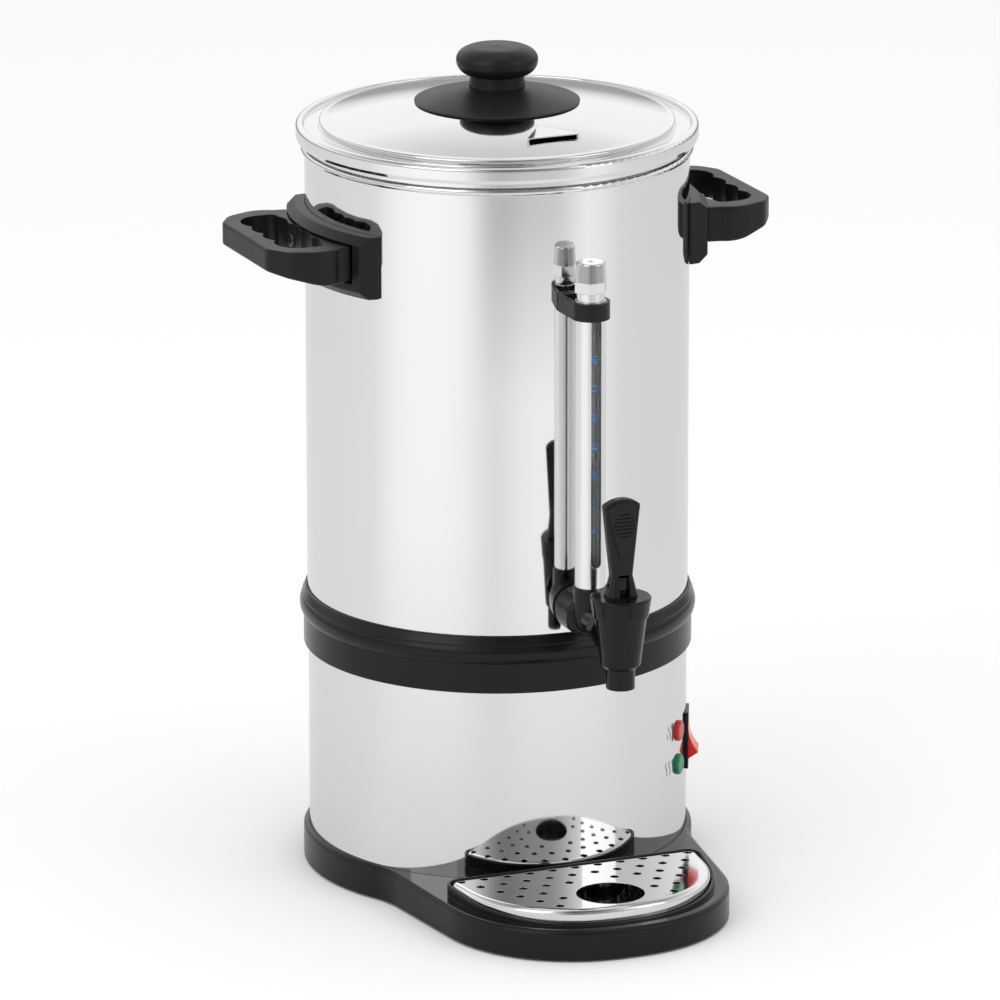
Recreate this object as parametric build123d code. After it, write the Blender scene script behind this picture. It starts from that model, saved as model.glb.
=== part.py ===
"""Coffee urn: a double-height steel vessel on a heater housing, with a tap, a sight gauge and a drip tray.

Millimetres, +Z up, the tap faces -Y. Everything is built round the vessel's axis, and export() then
moves it along Y so that the origin is the centre of the footprint.
"""

from build123d import *
import os
from math import asin, atan2, cos, degrees, hypot, pi, radians, sin, sqrt

# ---------------------------------------------------------------- clearances and stock thicknesses
CURVED_GAP = 0.25        # between curved pieces that are pushed together
SLIP_GAP = 0.35          # between a removable piece and what it drops into
RUNNING_GAP = 0.05       # radial, pins and stems that move in their holes
WORKING_GAP = 0.15       # under a cam, over a seat
SHEET = 1.0              # steel sheet of the vessel, lid and baskets

# ---------------------------------------------------------------- heights of the stack, from the table up
FOOT_HEIGHT = 1.5        # how far the feet hold the base off the table
BASE_HEIGHT = 19.5       # base moulding, from its lower edge to the top round the housing
SEAT_DEPTH = 8.0         # how deep the housing stands in the base
LEDGE_THICKNESS = 3.0
HOUSING_HEIGHT = 135.0
BAND_HEIGHT = 18.0
BAND_FLANGE = 1.5
RING_HEIGHT = 15.5
RING_SHELF = 6.0
VESSEL_HEIGHT = 280.0

DECK_Z = FOOT_HEIGHT + BASE_HEIGHT
SEAT_Z = DECK_Z - SEAT_DEPTH
HOUSING_TOP_Z = SEAT_Z + HOUSING_HEIGHT
BAND_TOP_Z = HOUSING_TOP_Z + BAND_FLANGE
BAND_BOTTOM_Z = BAND_TOP_Z - BAND_HEIGHT
SHELF_Z = BAND_TOP_Z + RING_SHELF
RING_TOP_Z = BAND_TOP_Z + RING_HEIGHT
RIM_Z = SHELF_Z + VESSEL_HEIGHT

# ---------------------------------------------------------------- plan sizes of the stack
VESSEL_RADIUS = 110.0
VESSEL_CORNER = 4.0
BEAD_DROP = 11.2         # rim edge down to the centre of the rolled bead
BEAD_RADIUS = 2.2
BEAD_PROUD = 2.2
HOUSING_INSET = 0.4      # housing wall inside the vessel's
HOUSING_WALL = 0.9
WALL_CUT = 20.0          # reach of a cutter that goes through a wall
BASE_FLANGE = 3.4        # base ring outside the housing
BASE_WALL = 2.8
BAND_WALL = 2.7
RING_PROUD = 4.5         # ring's bulge outside the vessel
RING_LIP = 1.2           # ring's top lip outside the vessel
SHELF_WIDTH = 13.6       # band flange, ring shelf and base ledge, in from the housing
ROD_INSET = 8.6          # housing wall in to the tie rods and cover screws
RING_STEP = 0.7          # ring over the band, at its foot and its groove
RING_BULGE_RISE = 5.0
RING_GROOVE_RISE = 10.1
RING_GROOVE = 0.5        # half height of the groove

# ---------------------------------------------------------------- drip tray and its grid
TRAY_SHOULDER = 10.7     # base ring's radius down to half the tray's width at the vessel axis
TRAY_TAPER = 0.13        # how much each side draws in per millimetre forward
TRAY_TURN = 1.4          # the base stands turned this far from the tap
TRAY_LENGTH = 96.0       # housing wall to the tip of the tray
TRAY_FRONT_RADIUS = 140.0
TRAY_CORNER_INSET = 23.3         # half the tray's width down to its corner radius
TRAY_BLEND = 55.0
TRAY_FALL = 2.7          # how much lower the rim is at the tip
TRAY_EDGE = 2.5
DECK = 2.5
RIM_WIDTH = 10.5
COLLAR_WIDTH = 2.2       # raised edge round the basin
COLLAR_BACK_Z = 26.8
COLLAR_TIP_Z = 18.6
COLLAR_ROUND = 0.8
BASIN_WALL = 2.9         # housing wall to the straight back edge of the basin
BASIN_CORNER = 6.0
BASIN_FLOOR_Z = 6.6
BASIN_LEDGE = 3.5
GRID_FOOT_Z = 11.0
GRID_BACK_Z = 26.6       # height of the grid's top at its back edge
GRID_RISE = 1.4          # how much higher the top is at the tip
GRID_EDGE = 3.5
GRID_SHEET = 1.0
GRID_HOLE = 5.0
GRID_PITCH = 14.0
GRID_ROW = 12.4
GRID_MARGIN = 6.0        # outline to the nearest hole centre
GRID_FIRST_ROW = 5.0     # straight back edge to the first row
GRID_LAND = 3.0          # between the finger hole and the holes round it
FINGER_HOLE = 39.0
FINGER_HOLE_INSET = 36.1         # tip of the tray to the finger hole's centre

# ---------------------------------------------------------------- feet, cover, tie rods
FOOT_RADIUS = 8.0
FRONT_FOOT = (55.0, 150.0)
BACK_FOOT = (62.0, 62.0)
COVER_THICKNESS = 1.2
COVER_Z = 3.2
BOSS_RADIUS = 4.0
COVER_SCREW = 1.5
COVER_SCREW_GAP = 0.15
COVER_SCREW_ANGLES = (45, 135, 225, 315)
ROD_ANGLES = (0, 120, 240)
ROD_RADIUS = 2.0
ROD_HOLE = 2.3
NUT_FLATS = 7.0
NUT_HEIGHT = 3.2

# ---------------------------------------------------------------- heating and wiring, sealed in the housing
WELL_RADIUS = 22.2
WELL_DEPTH = 12.0
WELL_FLANGE = 5.0
COIL_RADIUS = 30.0
COIL_BAR = 3.5
COLD_END = 16.0          # straight ends that point down from the ring
WARM_INNER = 48.0
WARM_OUTER = 60.0
WARM_THICKNESS = 4.0
THERMOSTAT_RADIUS = 8.0
THERMOSTAT_HEIGHT = 10.0
THERMOSTAT_PLACE = (-8.0, 76.0)
CUTOUT_RADIUS = 5.0
CUTOUT_HEIGHT = 7.0
CUTOUT_PLACE = (-36.0, 68.0)
BLOCK_SIZE = (40.0, 18.0, 14.0)
BLOCK_PLACE = (-22.0, 72.0)
THERMOSTAT_TABS = (4.0, 7.0)     # offset and length
CUTOUT_TABS = (2.5, 6.0)
COLD_END_OFFSET = 8.0
WIRE_RADIUS = 1.1
WIRE_BEND = 6.0
WIRE_RISE = 38.0         # straight stretch over the terminal block
WIRE_STEP = 14.0         # each lead turns this much higher than the one before
WIRE_SLANT = 22.0
GLAND_Z = 46.0
GLAND_BORE = 4.2
GLAND_RADIUS = 7.5
GLAND_FLANGE = 11.0
GLAND_FLANGE_THICKNESS = 4.0
GLAND_NOSE = 8.0

# ---------------------------------------------------------------- switch and lamps
SWITCH_AZIMUTH = 64.0
SWITCH_Z = 72.0
BEZEL_WIDTH = 22.0
BEZEL_HEIGHT = 34.0
BEZEL_PROUD = 1.5
SWITCH_WIDTH = 18.0
SWITCH_TALL = 27.6
SWITCH_DEPTH = 20.0
ROCKER_WIDTH = 15.0
ROCKER_TALL = 24.0
ROCKER_FACE = 19.6       # between the two upper edges
ROCKER_END = 6.45        # pivot to an upper edge, outward
ROCKER_MIDDLE = 4.25     # pivot to the middle of the hollow face
ROCKER_FOOT = (13.2, 4.0)        # length and depth of the part behind the pivot
ROCKER_PIVOT = 1.5       # pivot inside the wall
ROCKER_SIDE_GAP = 0.3
ROCKER_END_GAP = 0.5
ROCKER_TILT = 16.7       # the rocker rests this far off its middle, and moves twice this
ROCKER_PIN = 1.2
LAMP_AZIMUTH = 48.5
LAMP_RED_Z = 84.6
LAMP_GREEN_Z = 64.3
LAMP_RADIUS = 6.15
LAMP_PROUD = 2.2
LAMP_BODY = 4.8
LAMP_DEPTH = 18.0

# ---------------------------------------------------------------- handles
HANDLE_TOP_Z = 393.0
PLATE_HEIGHT = 36.0
PLATE_THICKNESS = 10.2
PLATE_HALF_ANGLE = 29.5
PLATE_CHAMFER = 4.5
PLATE_END_LAND = 1.5     # square part of each end, before its bevel
PLATE_END_LEAN = 36.9
RECESS_DEPTH = 5.0
RECESS_HALF_ANGLE = 23.8
RECESS_MARGIN = 1.2      # over and under the grip's root
GRIP_END_GAP = 2.5       # angle left open at each end of the grip's root
GRIP_HEIGHT = 20.5
GRIP_DROP = 5.8          # plate's top down to the grip's top
GRIP_DEPTH = 35.55       # plate's face to the outer end of the grip
GRIP_HALF_WIDTH = 54.0
GRIP_WIDEST = 7.55       # plate's face to where the loop is widest
GRIP_CORNER = 34.0       # half width of the straight outer bar
GRIP_BEVEL = (8.0, 12.0)         # depth and width of the slanting corners
GRIP_CORNER_ROUND = 11.0
GRIP_WIDEST_ROUND = 19.0
GRIP_ROOT_HALF = 40.0
GRIP_ROOT = 1.35         # plate's face to the flat wall in the finger hole
GRIP_BAR = 12.1          # thickness of the outer bar
GRIP_HOLE_HALF = 39.0
GRIP_TAPER = 0.27        # rise of the underside per millimetre beyond the widest place
GRIP_TAPER_ROUND = 60.0
GRIP_EDGE = 1.6
FINGERS = 4
FINGER_PITCH = 17.0
FINGER_DEPTH = 3.0
HANDLE_SCREW_SPREAD = 16.0
HANDLE_SCREW = 2.2
HANDLE_SCREW_HOLE = 2.45
HANDLE_HEAD = 4.2
HANDLE_HEAD_DEPTH = 2.6
CAP_NUT_RADIUS = 4.4
CAP_NUT_LENGTH = 6.5

# ---------------------------------------------------------------- gauge
SHANK_RISE = 24.5        # vessel's underside up to the shank's axis
SHANK_RADIUS = 8.2
SHANK_FLANGE = 13.0
SHANK_BORE = 4.0
SHANK_INSIDE = 20.0
SHANK_NUT_FLATS = 24.0
SHANK_NUT_THICKNESS = 6.0
GASKET = 2.0
GAUGE_STANDOFF = 21.0    # vessel wall to the gauge axis
COLUMN_RADIUS = 9.7
OUTLET_RADIUS = 8.4
BOSS_ROUND = 4.0
COLUMN_ABOVE = 18.0
SHIELD_RADIUS = 8.7
SHIELD_BORE = 7.5
SHIELD_LENGTH = 167.0
SLOT_WIDTH = 6.2
SLOT_BOTTOM = 12.5       # shield's lower end up to the slot
SLOT_TOP = 9.0           # slot's upper end down from the shield's
GLASS_RADIUS = 5.5
GLASS_BORE = 4.0
GLASS_SOCKET = 12.0
SEAL_HEIGHT = 6.0
CLAMP_HEIGHT = 10.0
CLAMP_DROP = 0.4         # shield's upper end down to the clamp
CLAMP_WALL = 2.2
CLAMP_WEB = 3.5          # closed end of the clamp, against the wall
COLLAR_RADIUS = 8.1
GAUGE_COLLAR = 5.0
GAUGE_HEX_FLATS = 16.8
GAUGE_HEX = 6.2
CAP_HEIGHT = 11.0
CAP_TOP_RADIUS = 8.1
CAP_FOOT_RADIUS = 9.0

# ---------------------------------------------------------------- tap
TAP_STEP = 42.0          # gauge axis to the tap axis
TAP_TOP_ABOVE = 23.8     # shank axis up to the bonnet's top
BONNET_RADIUS = 17.6
BONNET_HEIGHT = 11.5
BONNET_TOP = 3.2
BONNET_TAPER = 1.8
BONNET_MARKS = 7
BONNET_FIRST_MARK = -7.1
BONNET_LINE = 0.5
BONNET_LINE_SPREAD = 0.65
BODY_RADIUS = 14.9
BODY_TOP_ABOVE = 19.0
BODY_FOOT_RADIUS = 11.3
BODY_BELOW = 16.0
BODY_WALL = 2.2
SPOUT_RADIUS = 8.2
SPOUT_BORE = 6.2
SPOUT_LENGTH = 14.0
SPOUT_SHOULDER = 2.6
SEAT_BORE = 4.6
INLET_RADIUS = 9.2
UNION_FLATS = 21.0
UNION_LENGTH = 6.0
STEM_RADIUS = 2.4
CUP_RADIUS = 6.8
CUP_HEIGHT = 9.0
SPRING_RADIUS = 4.6
SPRING_WIRE = 0.6
SPRING_TURNS = 6
STEM_HEAD = 5.8
STEM_HEAD_ABOVE = 5.4    # lever pin up to the top of the stem
STEM_HEAD_GAP = 0.3
LEVER_SLOT_ABOVE = 6.3
PIN_ABOVE = 6.4          # bonnet's top up to the lever pin
PIN_RADIUS = 1.5
LEVER_FOOT_WIDTH = 18.0
LEVER_FOOT_DEPTH = 13.0
LEVER_WAIST_WIDTH = 12.6
LEVER_WAIST_ABOVE = 12.3
LEVER_WAIST_DEPTH = 8.0
LEVER_TIP_WIDTH = 23.2
LEVER_SHOULDER_ABOVE = 52.4
LEVER_TIP_ABOVE = 56.8
LEVER_TIP_DEPTH = 5.0
PANEL_PROUD = 0.7
PANEL_BORDER = 1.8
GRIP_LINES = 7
GRIP_LINE_PITCH = 2.1
GRIP_LINE_CIRCLE = 7.4
GRIP_LINE_WIDTH = 0.8

# ---------------------------------------------------------------- lid
LID_OVERHANG = 5.0       # lid outside the vessel
LID_SHEET = 1.0
LID_CREST = 2.6          # rim bead's top over the flat that rests on the vessel
LID_SKIRT = 5.8          # rim bead's lower edge under that flat
LID_FLAT = 8.5           # vessel wall in to the lid's step
LID_STEP = 4.6
LID_DOME = 12.0
KNOB_FLANGE_RADIUS = 47.0
KNOB_FLANGE_EDGE = 1.2
KNOB_FLANGE_RISE = 6.2
KNOB_NECK = 15.3
KNOB_RADIUS = 23.4
KNOB_CROWN = 12.0
KNOB_NECK_HEIGHT = 13.2
KNOB_BELLY_HEIGHT = 21.6
KNOB_HEIGHT = 30.0
LID_SCREW = 2.5
LID_SCREW_HEAD = 4.5
LID_WASHER = 8.0
VENT_WIDTH = 32.0
VENT_DEPTH = 20.5
VENT_RISE = 2.4
VENT_REACH = 79.0
VENT_AZIMUTH = 0.0

# ---------------------------------------------------------------- percolator set inside the vessel
TUBE_RADIUS = 5.0
TUBE_WALL = 0.8
BELL_RADIUS = 20.5
BELL_HEIGHT = 9.0
TUBE_TOP_BELOW = 34.0    # vessel rim down to the tube's upper end
BASKET_RADIUS = 82.0
BASKET_HEIGHT = 78.0
BASKET_TOP_BELOW = 50.0
BASKET_HOLE = 3.0
BASKET_RINGS = 5
COVER_OVERHANG = 2.0
STOP_RADIUS = 9.0
STOP_HEIGHT = 2.0

# ---------------------------------------------------------------- worked-out places
HOUSING_RADIUS = VESSEL_RADIUS - HOUSING_INSET
BASE_RADIUS = HOUSING_RADIUS + BASE_FLANGE
BAND_RADIUS = HOUSING_RADIUS + BAND_WALL
RING_RADIUS = VESSEL_RADIUS + RING_PROUD
RING_MOUTH = VESSEL_RADIUS + RING_LIP
SHELF_INNER = HOUSING_RADIUS - SHELF_WIDTH
ROD_CIRCLE = HOUSING_RADIUS - ROD_INSET
TRAY_HALF_WIDTH = BASE_RADIUS - TRAY_SHOULDER
TRAY_CORNER = TRAY_HALF_WIDTH - TRAY_CORNER_INSET
TRAY_REACH = HOUSING_RADIUS + TRAY_LENGTH
BASIN_BACK = HOUSING_RADIUS + BASIN_WALL
FINGER_HOLE_REACH = TRAY_REACH - FINGER_HOLE_INSET
LID_RADIUS = VESSEL_RADIUS + LID_OVERHANG
LID_STEP_RADIUS = VESSEL_RADIUS - LID_FLAT
COIL_Z = SHELF_Z - COIL_BAR - RUNNING_GAP
SHANK_Z = SHELF_Z + SHANK_RISE
COLUMN_TOP_Z = SHANK_Z + COLUMN_ABOVE
SHIELD_TOP_Z = COLUMN_TOP_Z + SHIELD_LENGTH
BONNET_TOP_Z = SHANK_Z + TAP_TOP_ABOVE
BODY_FOOT_Z = SHANK_Z - BODY_BELOW
SPOUT_Z = BODY_FOOT_Z - SPOUT_LENGTH
PIN_Z = BONNET_TOP_Z + PIN_ABOVE
PLATE_INNER = VESSEL_RADIUS + CURVED_GAP
PLATE_OUTER = PLATE_INNER + PLATE_THICKNESS
GRIP_REACH = PLATE_OUTER + GRIP_DEPTH
GRIP_SHOULDER = PLATE_OUTER + GRIP_WIDEST
GRIP_ROOT_X = PLATE_OUTER + GRIP_ROOT
GRIP_HOLE_X = GRIP_REACH - GRIP_BAR
GAUGE_REACH = VESSEL_RADIUS + GAUGE_STANDOFF
TAP_REACH = GAUGE_REACH + TAP_STEP
GRIP_TOP_Z = HANDLE_TOP_Z - GRIP_DROP
HANDLE_Z = GRIP_TOP_Z - GRIP_HEIGHT / 2
LID_REST_Z = RIM_Z
DOME_TOP_Z = LID_REST_Z + LID_SHEET + LID_STEP + LID_DOME
DOME_EDGE = LID_STEP_RADIUS - 3.5
DOME_SPHERE = (DOME_EDGE**2 + LID_DOME**2) / (2 * LID_DOME)
BASKET_TOP_Z = RIM_Z - BASKET_TOP_BELOW
BASKET_Z = BASKET_TOP_Z - BASKET_HEIGHT
LEVER_LIFT = 0.95 * LEVER_FOOT_DEPTH / 2          # stem lift per radian of lever tilt
BACK_REACH = HOUSING_RADIUS + GLAND_FLANGE_THICKNESS + GLAND_NOSE
AXIS_Y = (TRAY_REACH - BACK_REACH) / 2            # footprint centre to vessel axis

UP = (Align.CENTER, Align.CENTER, Align.MIN)


# ---------------------------------------------------------------- helpers
def rod(radius, low, high):
    """Upright cylinder between two heights."""
    return Pos(0, 0, low) * Cylinder(radius, high - low, align=UP)


def tube(outer, inner, low, high):
    """Upright tube between two heights."""
    return rod(outer, low, high) - rod(inner, low - 1, high + 1)


def across(radius, near, far, height):
    """Round bar that points to the front (-Y), from one distance off the axis to another."""
    bar = Cylinder(radius, far - near, align=UP)
    return Pos(0, -near, height) * Rot(90, 0, 0) * bar


def turned(points):
    """Solid of revolution from (radius, height) points."""
    return turn_face(make_face(Polyline(*points, close=True)))


def rounded_face(*corners):
    """Face from (x, y, radius) corners, each one rounded by its own radius."""
    face = make_face(Polyline(*[(x, y) for x, y, _ in corners], close=True))
    for x, y, radius in corners:
        if radius > 0:
            face = fillet(face.vertices().sort_by_distance((x, y, 0))[0], radius)
    return face


def turn_face(face):
    """Solid of revolution from a face drawn with radius as x and height as y."""
    return revolve(Plane.XZ * face, Axis.Z)


def hexagon(flats, low, high, bore):
    """Nut: hexagonal prism with a round hole."""
    prism = extrude(RegularPolygon(flats / 2, 6, major_radius=False), high - low)
    return Pos(0, 0, low) * prism - rod(bore, low - 1, high + 1)


def front(reach, solid):
    """Moves a solid that was built on the axis out to the front."""
    return Pos(0, -reach, 0) * solid


def azimuth(angle, solid):
    """Turns a solid that was built at the front round the axis, positive towards +X."""
    return Rot(0, 0, angle) * solid


def on_circle(radius, angle):
    return radius * sin(radians(angle)), -radius * cos(radians(angle))


def sector(inner, outer, half_angle, low, high):
    """Curved block round the axis, centred on the front."""
    reach = outer * 3
    side = reach * sin(radians(half_angle))
    depth = reach * cos(radians(half_angle))
    wedge = make_face(Polyline((0, 0), (side, -depth), (-side, -depth), close=True))
    return tube(outer, inner, low, high) & (Pos(0, 0, low) * extrude(wedge, high - low))


def top_edges(solid):
    return solid.edges().group_by(Axis.Z)[-1]


made = {}


def export(name, solid):
    """Writes one node, moved to the footprint's centre."""
    placed = Pos(0, AXIS_Y, 0) * solid
    placed.label = name
    made[name] = placed
    export_step(placed, f"parts/{name}.step")


# ---------------------------------------------------------------- base
def tray_outline():
    """Plan of the tray: sides that draw in to a wide round front, with softer corners."""
    centre = TRAY_REACH - TRAY_FRONT_RADIUS
    wide = TRAY_HALF_WIDTH
    narrow = TRAY_HALF_WIDTH - TRAY_TAPER * TRAY_REACH
    corners = [(-wide, 0), (wide, 0), (narrow, -TRAY_REACH), (-narrow, -TRAY_REACH)]
    sides = make_face(Polyline(*corners, close=True))
    nose = Pos(0, -centre) * Circle(TRAY_FRONT_RADIUS)
    shape = sides & (nose + Pos(0, -centre / 2) * Rectangle(2 * TRAY_HALF_WIDTH, centre))
    corners = shape.vertices().filter_by(lambda v: v.Y < -centre - 1)
    return fillet(corners, TRAY_CORNER)


def base_outline():
    """Ring and tray in one outline, blended where they meet."""
    shape = Circle(BASE_RADIUS) + tray_outline()
    necks = shape.vertices().filter_by(
        lambda v: v.Y < -1 and abs(hypot(v.X, v.Y) - BASE_RADIUS) < 0.1
    )
    return fillet(necks, TRAY_BLEND)


def basin_outline(shrink):
    """Plan of the drip basin; shrink takes it in all round."""
    back = -BASIN_BACK - shrink
    area = offset(tray_outline(), -RIM_WIDTH - shrink)
    area &= Pos(0, back - TRAY_REACH) * Rectangle(4 * TRAY_REACH, 2 * TRAY_REACH)
    corners = area.vertices().filter_by(lambda v: v.Y > back - 0.01)
    return fillet(corners, max(BASIN_CORNER - shrink, 1.0))


def over_slope(back_y, back_z, tip_z):
    """Everything over a plane that is level behind back_y and slopes from there to the tray's tip."""
    side = make_face(
        Polyline(
            (BASE_RADIUS + 1, back_z),
            (back_y, back_z),
            (-TRAY_REACH, tip_z),
            (-TRAY_REACH - 1, tip_z),
            (-TRAY_REACH - 1, 3 * DECK_Z),
            (BASE_RADIUS + 1, 3 * DECK_Z),
            close=True,
        )
    )
    return extrude(Plane.YZ * side, TRAY_REACH, both=True)


def basin_collar():
    """Raised edge round the basin: level with the grid at the back, with the rim at the tip."""
    ring = extrude(basin_outline(-COLLAR_WIDTH), 2 * DECK_Z) - extrude(basin_outline(0), 2 * DECK_Z)
    ring = Pos(0, 0, GRID_FOOT_Z) * ring
    ring -= over_slope(COLLAR_WIDTH - BASIN_BACK, COLLAR_BACK_Z, COLLAR_TIP_Z)
    top = ring.faces().filter_by(lambda f: f.normal_at().Z > 0.9)
    return fillet(top.edges(), COLLAR_ROUND)


def base_moulding():
    outline = base_outline()
    body = Pos(0, 0, FOOT_HEIGHT) * extrude(outline, BASE_HEIGHT)
    body -= over_slope(0, DECK_Z, DECK_Z - TRAY_FALL)
    body = fillet(body.faces().filter_by(lambda f: f.normal_at().Z > 0.9).edges(), TRAY_EDGE)
    inside = offset(outline, -BASE_WALL) - Circle(BASE_RADIUS)
    rim_top = DECK_Z - TRAY_FALL - DECK
    body -= Pos(0, 0, FOOT_HEIGHT - 1) * extrude(inside, BASIN_FLOOR_Z - DECK - FOOT_HEIGHT + 1)
    body -= Pos(0, 0, FOOT_HEIGHT) * extrude(inside - basin_outline(-DECK), rim_top - FOOT_HEIGHT)
    body -= rod(BASE_RADIUS - BASE_WALL, FOOT_HEIGHT - 1, SEAT_Z - LEDGE_THICKNESS)
    body -= rod(SHELF_INNER, 0, DECK_Z + 1)
    body -= rod(HOUSING_RADIUS + CURVED_GAP, SEAT_Z, DECK_Z + 1)
    body -= Pos(0, 0, GRID_FOOT_Z) * extrude(basin_outline(0), DECK_Z)
    body -= Pos(0, 0, BASIN_FLOOR_Z) * extrude(basin_outline(BASIN_LEDGE), DECK_Z)
    body += basin_collar()
    for angle in COVER_SCREW_ANGLES:
        boss = tube(BOSS_RADIUS, COVER_SCREW + COVER_SCREW_GAP, COVER_Z + COVER_THICKNESS, SEAT_Z - 1)
        body += Pos(*on_circle(ROD_CIRCLE, angle), 0) * boss
    for angle in ROD_ANGLES:
        body -= Pos(*on_circle(ROD_CIRCLE, angle), 0) * rod(ROD_HOLE, 0, SEAT_Z + 1)
    return body


def bottom_cover():
    disc = rod(BASE_RADIUS - BASE_WALL - SLIP_GAP, COVER_Z, COVER_Z + COVER_THICKNESS)
    for angle in COVER_SCREW_ANGLES:
        x, y = on_circle(ROD_CIRCLE, angle)
        disc -= Pos(x, y, 0) * rod(COVER_SCREW + COVER_SCREW_GAP, 0, SEAT_Z)
    slot = SlotOverall(24, 3)
    for row in range(-2, 3):
        for column in (-1, 0, 1):
            place = Pos(column * 34, row * 11, 0)
            disc -= place * extrude(slot, SEAT_Z)
    return disc


def base_screws():
    screw = rod(COVER_SCREW * 2, COVER_Z - 1.3, COVER_Z)
    screw += rod(COVER_SCREW, COVER_Z - 0.1, SEAT_Z - LEDGE_THICKNESS - 1)
    return Compound([Pos(*on_circle(ROD_CIRCLE, a), 0) * screw for a in COVER_SCREW_ANGLES])


def rubber_feet():
    feet = []
    for side in (-1, 1):
        under_basin = chamfer(rod(FOOT_RADIUS, 0, BASIN_FLOOR_Z - DECK).edges().group_by(Axis.Z)[0], 0.6)
        under_cover = chamfer(rod(FOOT_RADIUS, 0, COVER_Z).edges().group_by(Axis.Z)[0], 0.6)
        feet.append(Pos(side * FRONT_FOOT[0], -FRONT_FOOT[1], 0) * under_basin)
        feet.append(Pos(side * BACK_FOOT[0], BACK_FOOT[1], 0) * under_cover)
    return Compound(feet)


# ---------------------------------------------------------------- drip grid
def grid_holes():
    """Round holes in staggered rows, clear of the edge and of the finger hole."""
    allowed = basin_outline(GRID_MARGIN).face()
    clear = FINGER_HOLE / 2 + GRID_HOLE + GRID_LAND
    spots = []
    rows = int((TRAY_REACH - BASIN_BACK) / GRID_ROW) + 1
    for row in range(rows):
        y = -BASIN_BACK - GRID_FIRST_ROW - row * GRID_ROW
        test_y = min(y, -BASIN_BACK - GRID_MARGIN - 1)
        half = int(TRAY_HALF_WIDTH / GRID_PITCH) + 1
        for column in range(-half, half + 1):
            x = (column + 0.5 * (row % 2)) * GRID_PITCH
            far = hypot(x, y + FINGER_HOLE_REACH) > clear
            if far and allowed.is_inside(Vector(x, test_y, 0)):
                spots.append((x, y))
    return spots


def grid_blank(shrink, drop, edge):
    """Solid block in the grid's outline with its top sloped and its upper edge rounded."""
    tip = GRID_BACK_Z + GRID_RISE - drop
    block = Pos(0, 0, GRID_FOOT_Z) * extrude(basin_outline(shrink), 2 * DECK_Z)
    block -= over_slope(-BASIN_BACK, GRID_BACK_Z - drop, tip)
    top = block.faces().filter_by(lambda f: f.normal_at().Z > 0.9)
    return fillet(top.edges(), edge)


def drip_grid():
    hollow = grid_blank(SLIP_GAP + GRID_SHEET, GRID_SHEET, GRID_EDGE - GRID_SHEET)
    plate = grid_blank(SLIP_GAP, 0, GRID_EDGE) - hollow - Pos(0, 0, -2) * hollow
    hole = rod(GRID_HOLE / 2, GRID_FOOT_Z, 2 * DECK_Z)
    plate -= Compound([Pos(x, y, 0) * hole for x, y in grid_holes()])
    plate -= front(FINGER_HOLE_REACH, rod(FINGER_HOLE / 2, GRID_FOOT_Z, 2 * DECK_Z))
    lip = tube(FINGER_HOLE / 2 + GRID_SHEET, FINGER_HOLE / 2, GRID_FOOT_Z + 4, 2 * DECK_Z)
    under_skin = GRID_BACK_Z - GRID_SHEET / 2
    lip = front(FINGER_HOLE_REACH, lip) - over_slope(-BASIN_BACK, under_skin, under_skin + GRID_RISE)
    return plate + lip


# ---------------------------------------------------------------- housing and rings
def lower_housing():
    shell = tube(HOUSING_RADIUS, HOUSING_RADIUS - HOUSING_WALL, SEAT_Z, HOUSING_TOP_Z)
    near = HOUSING_RADIUS - WALL_CUT
    far = HOUSING_RADIUS + WALL_CUT
    window = Box(SWITCH_WIDTH + 2 * CURVED_GAP, 2 * WALL_CUT, SWITCH_TALL + 2 * CURVED_GAP)
    shell -= azimuth(SWITCH_AZIMUTH, Pos(0, -HOUSING_RADIUS, SWITCH_Z) * window)
    for height in (LAMP_RED_Z, LAMP_GREEN_Z):
        shell -= azimuth(LAMP_AZIMUTH, across(LAMP_BODY + CURVED_GAP, near, far, height))
    shell -= azimuth(180, across(GLAND_RADIUS + CURVED_GAP, near, far, GLAND_Z))
    return shell


def lower_band():
    profile = make_face(
        Polyline(
            (HOUSING_RADIUS + CURVED_GAP, BAND_BOTTOM_Z),
            (BAND_RADIUS, BAND_BOTTOM_Z),
            (BAND_RADIUS, BAND_TOP_Z),
            (SHELF_INNER, BAND_TOP_Z),
            (SHELF_INNER, HOUSING_TOP_Z),
            (HOUSING_RADIUS + CURVED_GAP, HOUSING_TOP_Z),
            close=True,
        )
    )
    body = turn_face(fillet(profile.vertices().filter_by(lambda v: v.X > BAND_RADIUS - 0.1), 0.5))
    return body - rod_holes(HOUSING_TOP_Z - 1, BAND_TOP_Z + 1)


def rod_holes(low, high):
    return Compound([Pos(*on_circle(ROD_CIRCLE, a), 0) * rod(ROD_HOLE, low, high) for a in ROD_ANGLES])


def upper_ring():
    """Bulged ring with a grooved, sloping top lip and a shelf that carries the vessel."""
    low = BAND_TOP_Z
    bore = VESSEL_RADIUS + CURVED_GAP
    foot = BAND_RADIUS + RING_STEP
    waist = foot + RING_GROOVE / 2
    groove = low + RING_GROOVE_RISE
    line = Polyline(
        (bore, RING_TOP_Z),
        (bore, SHELF_Z),
        (SHELF_INNER, SHELF_Z),
        (SHELF_INNER, low),
        (foot, low),
    )
    line += ThreePointArc((foot, low), (RING_RADIUS, low + RING_BULGE_RISE), (waist, groove - RING_GROOVE))
    line += ThreePointArc((waist, groove - RING_GROOVE), (foot, groove), (waist, groove + RING_GROOVE))
    line += Polyline(
        (waist, groove + RING_GROOVE),
        (RING_MOUTH + 0.2, RING_TOP_Z - 0.5),
        (RING_MOUTH - 0.3, RING_TOP_Z),
        (bore, RING_TOP_Z),
    )
    return turn_face(make_face(line)) - rod_holes(low - 1, SHELF_Z + 1)


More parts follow.
